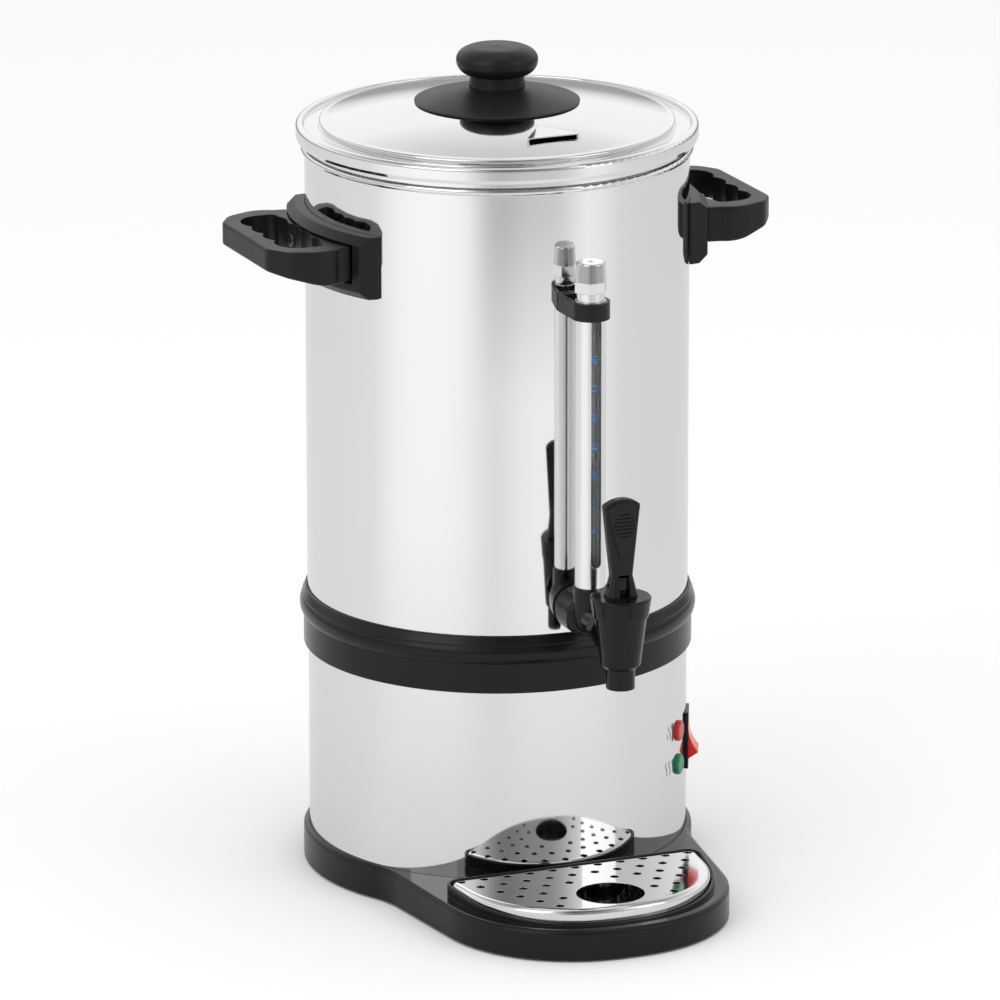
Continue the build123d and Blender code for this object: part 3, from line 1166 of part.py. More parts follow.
def tap_lever():
    """Foot with a slot for the stem, waist and paddle with a raised panel."""
    foot_z = BONNET_TOP_Z + WORKING_GAP
    waist_z = BONNET_TOP_Z + LEVER_WAIST_ABOVE
    shoulder_z = BONNET_TOP_Z + LEVER_SHOULDER_ABOVE
    tip_z = BONNET_TOP_Z + LEVER_TIP_ABOVE
    waist = lever_section(LEVER_WAIST_WIDTH, LEVER_WAIST_DEPTH, waist_z)
    foot = loft([lever_section(LEVER_FOOT_WIDTH, LEVER_FOOT_DEPTH, foot_z), waist])
    paddle = loft([waist, lever_section(LEVER_TIP_WIDTH, LEVER_TIP_DEPTH, tip_z)])
    rise = tip_z - shoulder_z
    radius = ((LEVER_TIP_WIDTH / 2) ** 2 + rise**2) / (2 * rise)
    arch = Pos(0, 0, tip_z - radius) * Rot(90, 0, 0) * Cylinder(radius, 4 * LEVER_FOOT_DEPTH)
    arch += Pos(0, 0, shoulder_z - tip_z / 2) * Box(2 * radius, 4 * LEVER_FOOT_DEPTH, tip_z)
    paddle &= arch
    body = foot + paddle
    face_y = -LEVER_TIP_DEPTH / 2
    half = LEVER_TIP_WIDTH / 2 - PANEL_BORDER
    panel = make_face(
        Polyline((0, waist_z + 3), (half, shoulder_z - 1), (-half, shoulder_z - 1), close=True)
    )
    inner_radius = radius - PANEL_BORDER
    arch_face = Pos(0, tip_z - radius) * Circle(inner_radius)
    upper = Pos(0, (shoulder_z + tip_z) / 2 - 1) * Rectangle(2 * half, rise + 2)
    panel = (panel + (upper & arch_face)) & arch_face
    lean = degrees(asin((LEVER_WAIST_DEPTH - LEVER_TIP_DEPTH) / 2 / (tip_z - waist_z)))
    raised = Plane(origin=(0, face_y, tip_z), x_dir=(1, 0, 0), z_dir=(0, -1, 0)) * (Pos(0, -tip_z) * panel)
    raised = extrude(raised, PANEL_PROUD + 0.6, both=True)
    raised = Pos(0, face_y, tip_z) * Rot(-lean, 0, 0) * Pos(0, -face_y, -tip_z) * raised
    front_half = Box(2 * LEVER_TIP_WIDTH, 2 * LEVER_FOOT_DEPTH, 3 * tip_z)
    raised &= Pos(0, face_y - LEVER_FOOT_DEPTH + 1.2, 0) * front_half
    body += raised
    centre = shoulder_z - 10.5
    for line in range(GRIP_LINES):
        z = centre + (line - (GRIP_LINES - 1) / 2) * GRIP_LINE_PITCH
        half_line = sqrt(max(GRIP_LINE_CIRCLE**2 - (z - centre) ** 2, 4.0)) * 0.86
        y = face_y - PANEL_PROUD - (tip_z - z) * sin(radians(lean)) - 0.35
        body -= Pos(0, y, z) * Box(2 * half_line, 1.2, GRIP_LINE_WIDTH)
    slot_low = foot_z - 4
    slot_top = PIN_Z + LEVER_SLOT_ABOVE
    slot = Box(STEM_HEAD + 2 * STEM_HEAD_GAP, 2 * LEVER_FOOT_DEPTH, slot_top - slot_low)
    body -= Pos(0, 0, (slot_low + slot_top) / 2) * slot
    body -= Pos(0, 0, PIN_Z) * Rot(0, 90, 0) * Cylinder(PIN_RADIUS, 40)
    return front(TAP_REACH, body)


def lever_pin():
    length = LEVER_FOOT_WIDTH - 4.5
    return front(TAP_REACH, Pos(0, 0, PIN_Z) * Rot(0, 90, 0) * Cylinder(PIN_RADIUS, length))


# ---------------------------------------------------------------- lid
def lid_blank(drop):
    """Solid under the pressed lid's skin; drop 0 is the outside and LID_SHEET the inside."""
    flat = LID_REST_Z + LID_SHEET - drop
    crest = flat + LID_CREST
    edge = LID_RADIUS - drop
    foot = LID_REST_Z - LID_SKIRT
    dome_z = DOME_TOP_Z - drop
    shoulder = dome_z - LID_DOME
    gutter = VESSEL_RADIUS + 0.5 + drop
    step = LID_STEP_RADIUS - drop
    face = rounded_face(
        (0, foot, 0),
        (edge - 0.8, foot, 0),
        (edge, foot + 2.0, 0.6),
        (edge, crest, 2.2 - drop),
        (gutter + 0.4, crest, 0.9 - 0.5 * drop),
        (gutter, flat, 0.6),
        (step + 0.5, flat, 0.6),
        (step, shoulder - 0.4, 1.2),
        (DOME_EDGE - drop, shoulder, 0.6),
        (0, shoulder, 0),
    )
    dome = Pos(0, 0, dome_z - DOME_SPHERE) * Sphere(DOME_SPHERE)
    return turn_face(face) + (dome & rod(DOME_EDGE - drop, shoulder - 0.5, dome_z + 1))


def dome_height(radius):
    """Height of the lid's top skin over the dome."""
    return DOME_TOP_Z - DOME_SPHERE + sqrt(DOME_SPHERE**2 - radius**2)


def lid():
    body = lid_blank(0) - lid_blank(LID_SHEET)
    body -= rod(LID_SCREW + CURVED_GAP, LID_REST_Z, DOME_TOP_Z + 5)
    wedge_out = vent_wedge(0.0)
    wedge_in = vent_wedge(LID_SHEET)
    body += azimuth(VENT_AZIMUTH, wedge_out)
    return body - azimuth(VENT_AZIMUTH, wedge_in)


def vent_wedge(wall):
    """Three-sided hood, open towards the rim; wall takes it in for the hollow."""
    z = dome_height(VENT_REACH)
    slope = degrees(asin(VENT_REACH / DOME_SPHERE))
    half = VENT_WIDTH / 2 - wall * 1.4
    back = VENT_DEPTH - wall * 1.6
    height = VENT_RISE + 6
    plan = make_face(Polyline((-half, 0), (half, 0), (0, back), close=True))
    low = -3 * LID_SHEET if wall > 0 else -LID_SHEET
    block = Pos(0, 0, low) * extrude(plan, height)
    if wall > 0:
        block += Pos(0, -wall, low + height / 2) * Box(2 * half, 2 * wall, height)
    pitch = degrees(asin(min(0.9, (VENT_RISE - wall * 0.2) / VENT_DEPTH)))
    above = Box(LID_RADIUS, LID_RADIUS, 2 * height, align=UP)
    block -= Pos(0, 0, VENT_RISE - wall * 0.8) * Rot(-pitch, 0, 0) * above
    return Pos(0, -VENT_REACH, z) * Rot(slope, 0, 0) * block


def knob_flange():
    """Shallow cone under the knob, its underside on the dome."""
    low = dome_height(KNOB_FLANGE_RADIUS) + RUNNING_GAP
    mid = KNOB_FLANGE_RADIUS / 2
    line = ThreePointArc(
        (0, DOME_TOP_Z + RUNNING_GAP),
        (mid, dome_height(mid) + RUNNING_GAP),
        (KNOB_FLANGE_RADIUS, low),
    )
    top = DOME_TOP_Z + KNOB_FLANGE_RISE
    line += Polyline(
        (KNOB_FLANGE_RADIUS, low),
        (KNOB_FLANGE_RADIUS + 0.3, low + KNOB_FLANGE_EDGE * 0.6),
        (KNOB_FLANGE_RADIUS - 1, low + KNOB_FLANGE_EDGE),
        (KNOB_NECK + 3, top),
        (0, top),
        (0, DOME_TOP_Z + RUNNING_GAP),
    )
    return turn_face(make_face(line)) - rod(LID_SCREW + CURVED_GAP, DOME_TOP_Z - 1, top + 1)


def lid_knob():
    """Mushroom knob: straight neck, wide round belly and a flattened crown."""
    low = DOME_TOP_Z + KNOB_FLANGE_RISE
    neck_z = DOME_TOP_Z + KNOB_NECK_HEIGHT
    belly_z = DOME_TOP_Z + KNOB_BELLY_HEIGHT
    top = DOME_TOP_Z + KNOB_HEIGHT
    crown_z = top - 0.5
    line = Polyline((0, top), (0, low), (KNOB_NECK + 0.8, low), (KNOB_NECK, neck_z))
    under = TangentArc((KNOB_RADIUS, belly_z), (KNOB_NECK, neck_z), tangent=(0, -1))
    high_side = (0.87 * KNOB_RADIUS, 0.35 * belly_z + 0.65 * top)
    over = TangentArc((KNOB_RADIUS, belly_z), high_side, tangent=(0, 1))
    shoulder = TangentArc(over @ 1, (KNOB_CROWN, crown_z), tangent=over % 1)
    line += [under, over, shoulder]
    line += Line(shoulder @ 1, (0, top))
    return turn_face(make_face(line)) - rod(LID_SCREW + RUNNING_GAP, low - 1, low + 13)


def lid_screw():
    under = DOME_TOP_Z - LID_SHEET - LID_SHEET
    high = DOME_TOP_Z + KNOB_FLANGE_RISE + 12
    head = fillet(rod(LID_SCREW_HEAD, under - 3, under).edges().group_by(Axis.Z)[0], 1.2)
    return head + rod(LID_SCREW, under - 0.1, high)


def lid_washer():
    under = DOME_TOP_Z - LID_SHEET
    sag = DOME_SPHERE - sqrt(DOME_SPHERE**2 - LID_WASHER**2)
    return tube(LID_WASHER, LID_SCREW + CURVED_GAP, under - LID_SHEET, under - sag)


# ---------------------------------------------------------------- percolator set
def riser_tube():
    """Pump tube: bell foot in the heater well and a stop that carries the basket."""
    foot = SHELF_Z + SHEET - WELL_DEPTH + SHEET
    top = RIM_Z - TUBE_TOP_BELOW
    bell = rod(BELL_RADIUS, foot, foot + BELL_HEIGHT)
    bell = chamfer(top_edges(bell), 3.0)
    hollow = chamfer(rod(BELL_RADIUS - 1, foot - 1, foot + BELL_HEIGHT - 1).edges().group_by(Axis.Z)[-1], 3.0)
    body = bell - hollow + rod(TUBE_RADIUS, foot + BELL_HEIGHT - 1.0, top)
    body += rod(STOP_RADIUS, BASKET_Z - STOP_HEIGHT, BASKET_Z)
    body -= rod(TUBE_RADIUS - TUBE_WALL, foot - 1, top + 1)
    for angle in (0, 90, 180, 270):
        body -= azimuth(angle, Pos(0, -BELL_RADIUS, foot) * Box(6, 6, 4))
    return body


def filter_basket():
    """Perforated coffee basket with a sleeve round the pump tube."""
    body = rod(BASKET_RADIUS, BASKET_Z, BASKET_TOP_Z)
    body = fillet(body.edges().group_by(Axis.Z)[0], 5.0)
    hollow = rod(BASKET_RADIUS - SHEET, BASKET_Z + SHEET, BASKET_TOP_Z + 1)
    hollow = fillet(hollow.edges().group_by(Axis.Z)[0], 5.0 - SHEET)
    body -= hollow
    sleeve = TUBE_RADIUS + SLIP_GAP
    body += tube(sleeve + SHEET, sleeve, BASKET_Z, BASKET_TOP_Z)
    body -= rod(sleeve, BASKET_Z - 1, BASKET_TOP_Z + 1)
    step = (BASKET_RADIUS - STOP_RADIUS - 12) / BASKET_RINGS
    for ring in range(BASKET_RINGS):
        radius = STOP_RADIUS + 8 + step * ring
        count = int(2 * pi * radius / 22)
        for hole in range(count):
            x, y = on_circle(radius, 360 * hole / count)
            body -= Pos(x, y, 0) * rod(BASKET_HOLE / 2, BASKET_Z - 1, BASKET_Z + 3)
    return body


def basket_cover():
    """Perforated spreader that lies on the basket."""
    rim = BASKET_RADIUS + COVER_OVERHANG
    plate = rod(rim, BASKET_TOP_Z, BASKET_TOP_Z + SHEET)
    plate += tube(rim, rim - SHEET, BASKET_TOP_Z, BASKET_TOP_Z + 4)
    plate -= rod(TUBE_RADIUS + SLIP_GAP, BASKET_TOP_Z - 1, BASKET_TOP_Z + 5)
    step = (BASKET_RADIUS - 16) / BASKET_RINGS
    for ring in range(BASKET_RINGS):
        radius = 16 + step * ring
        count = int(2 * pi * radius / 26)
        for hole in range(count):
            x, y = on_circle(radius, 360 * (hole + 0.5) / count)
            plate -= Pos(x, y, 0) * rod(BASKET_HOLE / 2, BASKET_TOP_Z - 1, BASKET_TOP_Z + 5)
    return plate


# ---------------------------------------------------------------- write every node
os.makedirs("parts", exist_ok=True)

export("base_moulding", azimuth(-TRAY_TURN, base_moulding()))
export("bottom_cover", azimuth(-TRAY_TURN, bottom_cover()))
export("base_screws", azimuth(-TRAY_TURN, base_screws()))
export("rubber_feet", azimuth(-TRAY_TURN, rubber_feet()))
export("tie_rods", azimuth(-TRAY_TURN, tie_rods()))
export("tie_nuts", azimuth(-TRAY_TURN, tie_nuts()))
export("drip_grid", azimuth(-TRAY_TURN, drip_grid()))

export("lower_housing", lower_housing())
export("lower_band", azimuth(-TRAY_TURN, lower_band()))
export("upper_ring", azimuth(-TRAY_TURN, upper_ring()))
export("vessel", vessel())

export("heater_well", heater_well())
export("boil_element", boil_element())
export("keep_warm_element", keep_warm_element())
export("thermostat", thermostat())
export("thermal_cutout", thermal_cutout())
export("terminal_block", terminal_block())
export("wiring", wiring())
export("cord_gland", cord_gland())
export("gland_nut", gland_nut())

export("switch_frame", azimuth(SWITCH_AZIMUTH, switch_frame()))
export("switch_rocker", azimuth(SWITCH_AZIMUTH, rocker()))
export("lamp_red", lamp(LAMP_RED_Z))
export("lamp_green", lamp(LAMP_GREEN_Z))

plate = handle_plate()
grip = handle_grip()
for side, turn in (("right", 0), ("left", 180)):
    export(f"{side}_handle_plate", Rot(0, 0, turn) * plate)
    export(f"{side}_handle_grip", Rot(0, 0, turn) * grip)
export("handle_screws", handle_screws())
export("handle_nuts", handle_nuts())

export("gauge_elbow", gauge_elbow())
export("shank_gasket", shank_gasket())
export("shank_nut", shank_nut())
export("gauge_glass", gauge_glass())
export("gauge_seals", gauge_seals())
export("gauge_shield", gauge_shield())
export("gauge_clamp", gauge_clamp())
export("gauge_collar", gauge_collar())
export("gauge_cap", gauge_cap())

export("tap_body", tap_body())
export("union_nut", union_nut())
export("tap_bonnet", tap_bonnet())
export("seat_cup", seat_cup())
export("valve_stem", valve_stem())
export("valve_spring", valve_spring())
export("tap_lever", tap_lever())
export("lever_pin", lever_pin())

export("lid", lid())
export("knob_flange", knob_flange())
export("lid_knob", lid_knob())
export("lid_screw", lid_screw())
export("lid_washer", lid_washer())

export("riser_tube", riser_tube())
export("filter_basket", filter_basket())
export("basket_cover", basket_cover())

print(len(made), "nodes written")
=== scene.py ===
# %% [markdown]
# # A coffee urn, dressed for the studio
# The urn's solids come ready made as a fixed frame: every plate, ring and screw is where it belongs.
# This lesson gives each of them its finish, adds the print that is too thin to be a solid, and then
# sets up the floor, the light and the camera. Everything is in metres, Z is up and the tap faces -Y.

# %% Load the frame
from math import cos, pi, radians, sin

import bpy
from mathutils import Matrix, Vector


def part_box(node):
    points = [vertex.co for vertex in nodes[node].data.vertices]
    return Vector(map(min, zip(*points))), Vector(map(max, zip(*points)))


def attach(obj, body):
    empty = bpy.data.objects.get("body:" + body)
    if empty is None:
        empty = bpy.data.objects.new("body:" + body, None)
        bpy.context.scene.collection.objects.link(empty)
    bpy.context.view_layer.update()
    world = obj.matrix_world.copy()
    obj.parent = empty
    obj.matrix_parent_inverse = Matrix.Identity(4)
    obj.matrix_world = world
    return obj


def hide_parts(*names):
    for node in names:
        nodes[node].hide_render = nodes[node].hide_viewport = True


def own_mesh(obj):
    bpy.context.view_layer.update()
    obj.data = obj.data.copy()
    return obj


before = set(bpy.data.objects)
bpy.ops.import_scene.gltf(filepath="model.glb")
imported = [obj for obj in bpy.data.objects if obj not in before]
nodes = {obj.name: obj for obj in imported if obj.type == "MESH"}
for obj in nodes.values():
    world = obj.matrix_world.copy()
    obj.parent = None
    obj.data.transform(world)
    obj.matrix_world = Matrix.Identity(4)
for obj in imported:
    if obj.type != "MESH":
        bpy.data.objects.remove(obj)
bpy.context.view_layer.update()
print(len(nodes), "solids loaded")

# %% [markdown]
# Nearly all that is added later stands round two upright axes: the vessel's and the sight glass's.
# Typing their places in would work once. Reading them off the loaded solids keeps the print on the
# glass and the housing when a size of the urn changes.

# %% Read the main places from the frame
housing_low, housing_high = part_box("lower_housing")
glass_low, glass_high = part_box("gauge_glass")
shield_low, shield_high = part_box("gauge_shield")


def upright_axis(low, high):
    return Vector(((low.x + high.x) / 2, (low.y + high.y) / 2, 0))


AXIS = upright_axis(housing_low, housing_high)
HOUSING_RADIUS = (housing_high.x - housing_low.x) / 2
GLASS_AXIS = upright_axis(glass_low, glass_high)
GLASS_RADIUS = (glass_high.x - glass_low.x) / 2
SHIELD_RADIUS = (shield_high.x - shield_low.x) / 2
print("axis", [round(v, 4) for v in AXIS], "housing radius", round(HOUSING_RADIUS, 4))

# %% [markdown]
# A material in Blender is a graph of nodes. Written out link by link a recipe is hard to read, so one
# helper adds a node and sets or links its inputs by name. The others are the few steps that come back
# in every recipe: a sum, a dot product, one component of a vector, a slope and a mix.

# %% Node helpers
FLOAT, VECTOR = "NodeSocketFloat", "NodeSocketVector"


def add(tree, kind, settings=None, **inputs):
    """Adds a node; an input is named with _ for a space, or _0, _1 by place, and is a value or a socket."""
    node = tree.nodes.new(kind)
    for name, value in (settings or {}).items():
        setattr(node, name, value)
    for name, value in inputs.items():
        socket = node.inputs[int(name[1:])] if name[0] == "_" else node.inputs[name.replace("_", " ")]
        if isinstance(value, bpy.types.NodeSocket):
            tree.links.new(value, socket)
        else:
            socket.default_value = value
    return node


def maths(tree, operation, first, second=0.0, clamp=False):
    node = add(tree, "ShaderNodeMath", {"operation": operation, "use_clamp": clamp}, _0=first, _1=second)
    return node.outputs[0]


def dot(tree, first, second):
    node = add(tree, "ShaderNodeVectorMath", {"operation": "DOT_PRODUCT"}, _0=first, _1=second)
    return node.outputs["Value"]


def component(tree, vector, letter):
    return add(tree, "ShaderNodeSeparateXYZ", Vector=vector).outputs[letter]


def ramp(tree, value, start, end, low=0.0, high=1.0, curve="LINEAR"):
    """low up to start, high from end on, and a slope between them."""
    node = add(tree, "ShaderNodeMapRange", {"interpolation_type": curve}, Value=value,
               From_Min=start, From_Max=end, To_Min=low, To_Max=high)
    return node.outputs[0]


def mix(tree, factor, first, second):
    node = add(tree, "ShaderNodeMix", {"data_type": "FLOAT"}, Factor=factor, A=first, B=second)
    return node.outputs[0]


print("node helpers ready")

# %% [markdown]
# An effect that several finishes share, such as wear or dust, is a shader group: a graph of its own
# with named sockets, built once and placed in each material with that material's values. Copying the
# nodes into every material would look the same, but a change would then have to be made many times.

# %% Group helpers
def start_group(name, inputs, outputs):
    """A shader group with float inputs {name: default} and outputs {name: socket type}."""
    group = bpy.data.node_groups.new(name, "ShaderNodeTree")
    for label, value in inputs.items():
        socket = group.interface.new_socket(label, in_out="INPUT", socket_type=FLOAT)
        socket.default_value = value
    for label, kind in outputs.items():
        group.interface.new_socket(label, in_out="OUTPUT", socket_type=kind)
    entry = group.nodes.new("NodeGroupInput")
    leave = group.nodes.new("NodeGroupOutput")
    return group, entry, leave


def place(tree, group, **inputs):
    return add(tree, "ShaderNodeGroup", {"node_tree": group}, **inputs)


def noise(tree, scale, detail, **inputs):
    """Noise that is fixed to the piece, so that it moves with it."""
    place_on = add(tree, "ShaderNodeTexCoord").outputs["Object"]
    node = add(tree, "ShaderNodeTexNoise", Vector=place_on, Scale=scale, Detail=detail, **inputs)
    return node.outputs[0]


print("group helpers ready")

# %% [markdown]
# Moulded plastic and pressed steel have no knife edges. Real fillets on every solid would be heavy;
# a Bevel node instead finds the edges near a point and rounds the shading there. Compared with the
# true normal it also gives a mask of the edges. Hands polish the edges of matt plastic, so the
# materials use the mask to make them smoother and lighter; the lighter colour is partly that wear
# and partly a painted highlight along the edges. A noise breaks the wear and the highlight up.

# %% Edge group
WEAR_AND_HIGHLIGHT_CONTRAST = 9.0

edge_group, entry, leave = start_group(
    "edge_wear_and_highlight", {"Width": 0.0006, "Amount": 1.0}, {"Mask": FLOAT, "Normal": VECTOR}
)
bevel = add(edge_group, "ShaderNodeBevel", {"samples": 6}, Radius=entry.outputs["Width"])
geometry = add(edge_group, "ShaderNodeNewGeometry")
flat = dot(edge_group, bevel.outputs["Normal"], geometry.outputs["Normal"])
broken = add(edge_group, "ShaderNodeTexNoise", Scale=260.0, Detail=3.0)
contrast = maths(edge_group, "MULTIPLY", broken.outputs[0], WEAR_AND_HIGHLIGHT_CONTRAST)
strength = maths(edge_group, "MULTIPLY", maths(edge_group, "SUBTRACT", 1.0, flat), contrast)
# Edge mask: partly wear, partly a painted highlight along rounded edges.
mask = maths(edge_group, "MULTIPLY", strength, entry.outputs["Amount"], clamp=True)
edge_group.links.new(mask, leave.inputs["Mask"])
edge_group.links.new(bevel.outputs["Normal"], leave.inputs["Normal"])
print("group", edge_group.name)

# %% [markdown]
# The handles, the knob and the tap come from moulds with a fine spark-eroded texture: close, shallow
# pits of one size over a slower waviness. Pits this small are too many to model, so the group returns
# a height for a Bump node, and a mask that varies the gloss from place to place.

# %% Mould grain group
grain_group, entry, leave = start_group(
    "mould_grain", {"Scale": 1600.0, "Waviness": 0.3}, {"Height": FLOAT, "Mask": FLOAT}
)
pits = noise(grain_group, entry.outputs["Scale"], 2.0)
slow = noise(grain_group, 90.0, 3.0)
waves = maths(grain_group, "MULTIPLY", slow, entry.outputs["Waviness"])
grain_group.links.new(maths(grain_group, "ADD", pits, waves), leave.inputs["Height"])
grain_group.links.new(slow, leave.inputs["Mask"])
print("group", grain_group.name)

# %% [markdown]
# Steel keeps very fine lines from the rolls and from polishing. On a drawn shell they run round it,
# so a noise is stretched: dozens of lines to the centimetre one way, and hardly any change the other.
# With Upright at 0 the lines run round the axis, and at 1 along it, as on a drawn tube. An
# anisotropic shader would give a broader streak, but this urn's steel is polished past that.

# %% Polishing line group
line_group, entry, leave = start_group(
    "polish_lines", {"Across": 2400.0, "Along": 6.0, "Upright": 0.0}, {"Height": FLOAT, "Mask": FLOAT}
)
upright = entry.outputs["Upright"]
across, along = entry.outputs["Across"], entry.outputs["Along"]
level_scale = mix(line_group, upright, along, across)
rise_scale = mix(line_group, upright, across, along)
place_on = add(line_group, "ShaderNodeTexCoord")
parts = add(line_group, "ShaderNodeSeparateXYZ", Vector=place_on.outputs["Object"])
stretched = add(line_group, "ShaderNodeCombineXYZ",
                X=maths(line_group, "MULTIPLY", parts.outputs["X"], level_scale),
                Y=maths(line_group, "MULTIPLY", parts.outputs["Y"], level_scale),
                Z=maths(line_group, "MULTIPLY", parts.outputs["Z"], rise_scale))
lines = add(line_group, "ShaderNodeTexNoise", Vector=stretched.outputs[0],
            Scale=1.0, Detail=4.0, Roughness=0.6)
scratches = maths(line_group, "SUBTRACT", lines.outputs[0], 0.35, clamp=True)
line_group.links.new(lines.outputs[0], leave.inputs["Height"])
line_group.links.new(scratches, leave.inputs["Mask"])
print("group", line_group.name)

# %% [markdown]
# Nothing in a kitchen stays spotless. Painting smears on by hand would need an image for each piece;
# two noises do for all of them. One gives soft smears, as from a cloth, and the other a light dust
# that settles only where a surface looks up.

# %% Smear and dust group
SMEAR_START = 0.42           # noise below this is left clean

care_group, entry, leave = start_group(
    "smears_and_dust", {"Smears": 0.3, "Dust": 0.1}, {"Smear": FLOAT, "Dust": FLOAT}
)
patches = noise(care_group, 14.0, 5.0, Distortion=1.2)
patches = maths(care_group, "SUBTRACT", patches, SMEAR_START, clamp=True)
smear = maths(care_group, "MULTIPLY", patches, entry.outputs["Smears"], clamp=True)
specks = noise(care_group, 900.0, 2.0)
upward = component(care_group, add(care_group, "ShaderNodeNewGeometry").outputs["Normal"], "Z")
settled = maths(care_group, "MULTIPLY", maths(care_group, "MAXIMUM", upward, 0.0), specks)
dust = maths(care_group, "MULTIPLY", settled, entry.outputs["Dust"], clamp=True)
care_group.links.new(smear, leave.inputs["Smear"])
care_group.links.new(dust, leave.inputs["Dust"])
print("group", care_group.name)

# %% [markdown]
# Every material starts from one Principled shader. Values that are the same all over are set straight
# on its sockets, because an exported model can read them there, and only what changes over the
# surface is linked.

# %% Material helpers
def start_material(name, **sockets):
    material = bpy.data.materials.new(name)
    material.use_nodes = True
    tree = material.node_tree
    shader = tree.nodes["Principled BSDF"]
    for label, value in sockets.items():
        shader.inputs[label.replace("_", " ")].default_value = value
    material.diffuse_color = shader.inputs["Base Color"].default_value
    return material, tree, shader


def grey(value):
    return (value, value, value, 1.0)


def shade(tree, factor, first, second):
    """Colour between two, by a mask; each is a colour or a socket."""
    node = add(tree, "ShaderNodeMix", {"data_type": "RGBA"}, _0=factor, _6=first, _7=second)
    return node.outputs[2]


def share_of(tree, factor, low, high):
    """Value between two, by a mask."""
    return ramp(tree, factor, 0.0, 1.0, low, high)


def bump(tree, shader, strength, depth, height, normal):
    node = add(tree, "ShaderNodeBump", Strength=strength, Distance=depth, Height=height, Normal=normal)
    tree.links.new(node.outputs[0], shader.inputs["Normal"])


print("material helpers ready")

# %% [markdown]
# The shells, the lid and the drip grid are mirror-polished stainless steel. What shows on a mirror is
# the room, so the finish itself is quiet: a neutral light grey, a little haze where a cloth smeared
# it, and polishing lines that are only just there. The gauge's tube and the filter basket are duller
# and the zinc-plated fixings duller still, so one recipe serves them all with other values.

# %% Steel
STEEL_EDGE = 0.0004          # width of the rounded edge
STEEL_DUST = (0.62, 0.61, 0.58, 1)


def steel(name, tone, roughness, line_height, upright=0.0, across=2400.0, along=6.0, smears=0.3):
    material, tree, shader = start_material(name, Base_Color=grey(tone), Metallic=1.0, Roughness=roughness)
    lines = place(tree, line_group, Upright=upright, Across=across, Along=along)
    care = place(tree, care_group, Smears=smears, Dust=0.05)
    edges = place(tree, edge_group, Width=STEEL_EDGE, Amount=0.5)
    scratched = maths(tree, "MULTIPLY", lines.outputs["Mask"], 0.5 * roughness)
    hazy = maths(tree, "ADD", scratched, maths(tree, "MULTIPLY", care.outputs["Smear"], 0.25))
    tree.links.new(maths(tree, "ADD", hazy, roughness * 0.9), shader.inputs["Roughness"])
    smeared = shade(tree, care.outputs["Smear"], grey(tone), grey(tone * 0.93))
    dusty = shade(tree, care.outputs["Dust"], smeared, STEEL_DUST)
    # Lighter on the rounded edges: partly wear, partly a painted highlight.
    worn_and_highlit = shade(tree, edges.outputs["Mask"], dusty, grey(min(1, tone * 1.06)))
    tree.links.new(worn_and_highlit, shader.inputs["Base Color"])
    bump(tree, shader, line_height, 0.00002, lines.outputs["Height"], edges.outputs["Normal"])
    return material


mirror_steel = steel("mirror_steel", 0.80, 0.05, 0.05)
grid_steel = steel("grid_steel", 0.78, 0.07, 0.08)
tube_steel = steel("satin_tube", 0.80, 0.20, 0.12, upright=1.0, across=1500.0, along=3.0, smears=0.1)
basket_steel = steel("basket_steel", 0.60, 0.28, 0.5)
turned_steel = steel("turned_nickel", 0.76, 0.12, 0.25, across=5200.0)
zinc = steel("zinc_plate", 0.52, 0.30, 0.4)
dark_zinc = steel("dark_zinc", 0.09, 0.32, 0.3)
print("steels:", mirror_steel.name, grid_steel.name, tube_steel.name, turned_steel.name)

# %% [markdown]
# Four black plastics: a textured one for what hot hands hold, a satin one for the rings, one for the
# base that is glossy where it looks up and satin on its wall, and a smooth one for the tap. Pure
# black would swallow the shapes, so each is a very dark grey, with the mould's grain as bump, edges
# worn smooth and lighter, the lighter colour partly wear and partly a painted highlight, and a hint
# of dust on what faces up. Rubber, silicone, phenolic and wire share the recipe.

# %% Plastic
PLASTIC_EDGE = 0.0007
PLASTIC_DUST = (0.30, 0.29, 0.27, 1)
DECK_START, DECK_END = 0.70, 0.95    # upward part of the normal where a glossy deck begins and is whole


def lighten(colour, gain, lift):
    return tuple(min(1, v * gain + lift) for v in colour[:3]) + (1,)


def gloss_on_deck(tree, roughness, deck):
    """The deck's roughness where the surface looks up, and the given one elsewhere."""
    upward = component(tree, add(tree, "ShaderNodeNewGeometry").outputs["Normal"], "Z")
    return mix(tree, ramp(tree, upward, DECK_START, DECK_END), roughness, deck)


def plastic(name, colour, roughness, grain, worn_and_highlit=0.35, dust=0.03, scale=1600.0, specular=0.3, deck=None):
    material, tree, shader = start_material(
        name, Base_Color=colour, Roughness=roughness, Specular_IOR_Level=specular
    )
    mould = place(tree, grain_group, Scale=scale)
    care = place(tree, care_group, Smears=0.5, Dust=dust)
    edges = place(tree, edge_group, Width=PLASTIC_EDGE, Amount=worn_and_highlit)
    # Lighter on the rounded edges: partly wear, partly a painted highlight.
    worn_and_highlit_colour = shade(tree, edges.outputs["Mask"], colour, lighten(colour, 1.8, 0.006))
    dusty = shade(tree, care.outputs["Dust"], worn_and_highlit_colour, PLASTIC_DUST)
    tree.links.new(dusty, shader.inputs["Base Color"])
    uneven = share_of(tree, mould.outputs["Mask"], roughness * 0.85, roughness * 1.15)
    if deck is not None:
        uneven = gloss_on_deck(tree, uneven, deck)
    smeared = maths(tree, "ADD", uneven, maths(tree, "MULTIPLY", care.outputs["Smear"], 0.10))
    polished = maths(tree, "SUBTRACT", smeared, maths(tree, "MULTIPLY", edges.outputs["Mask"], 0.06))
    tree.links.new(polished, shader.inputs["Roughness"])
    bump(tree, shader, grain, 0.00005, mould.outputs["Height"], edges.outputs["Normal"])
    return material


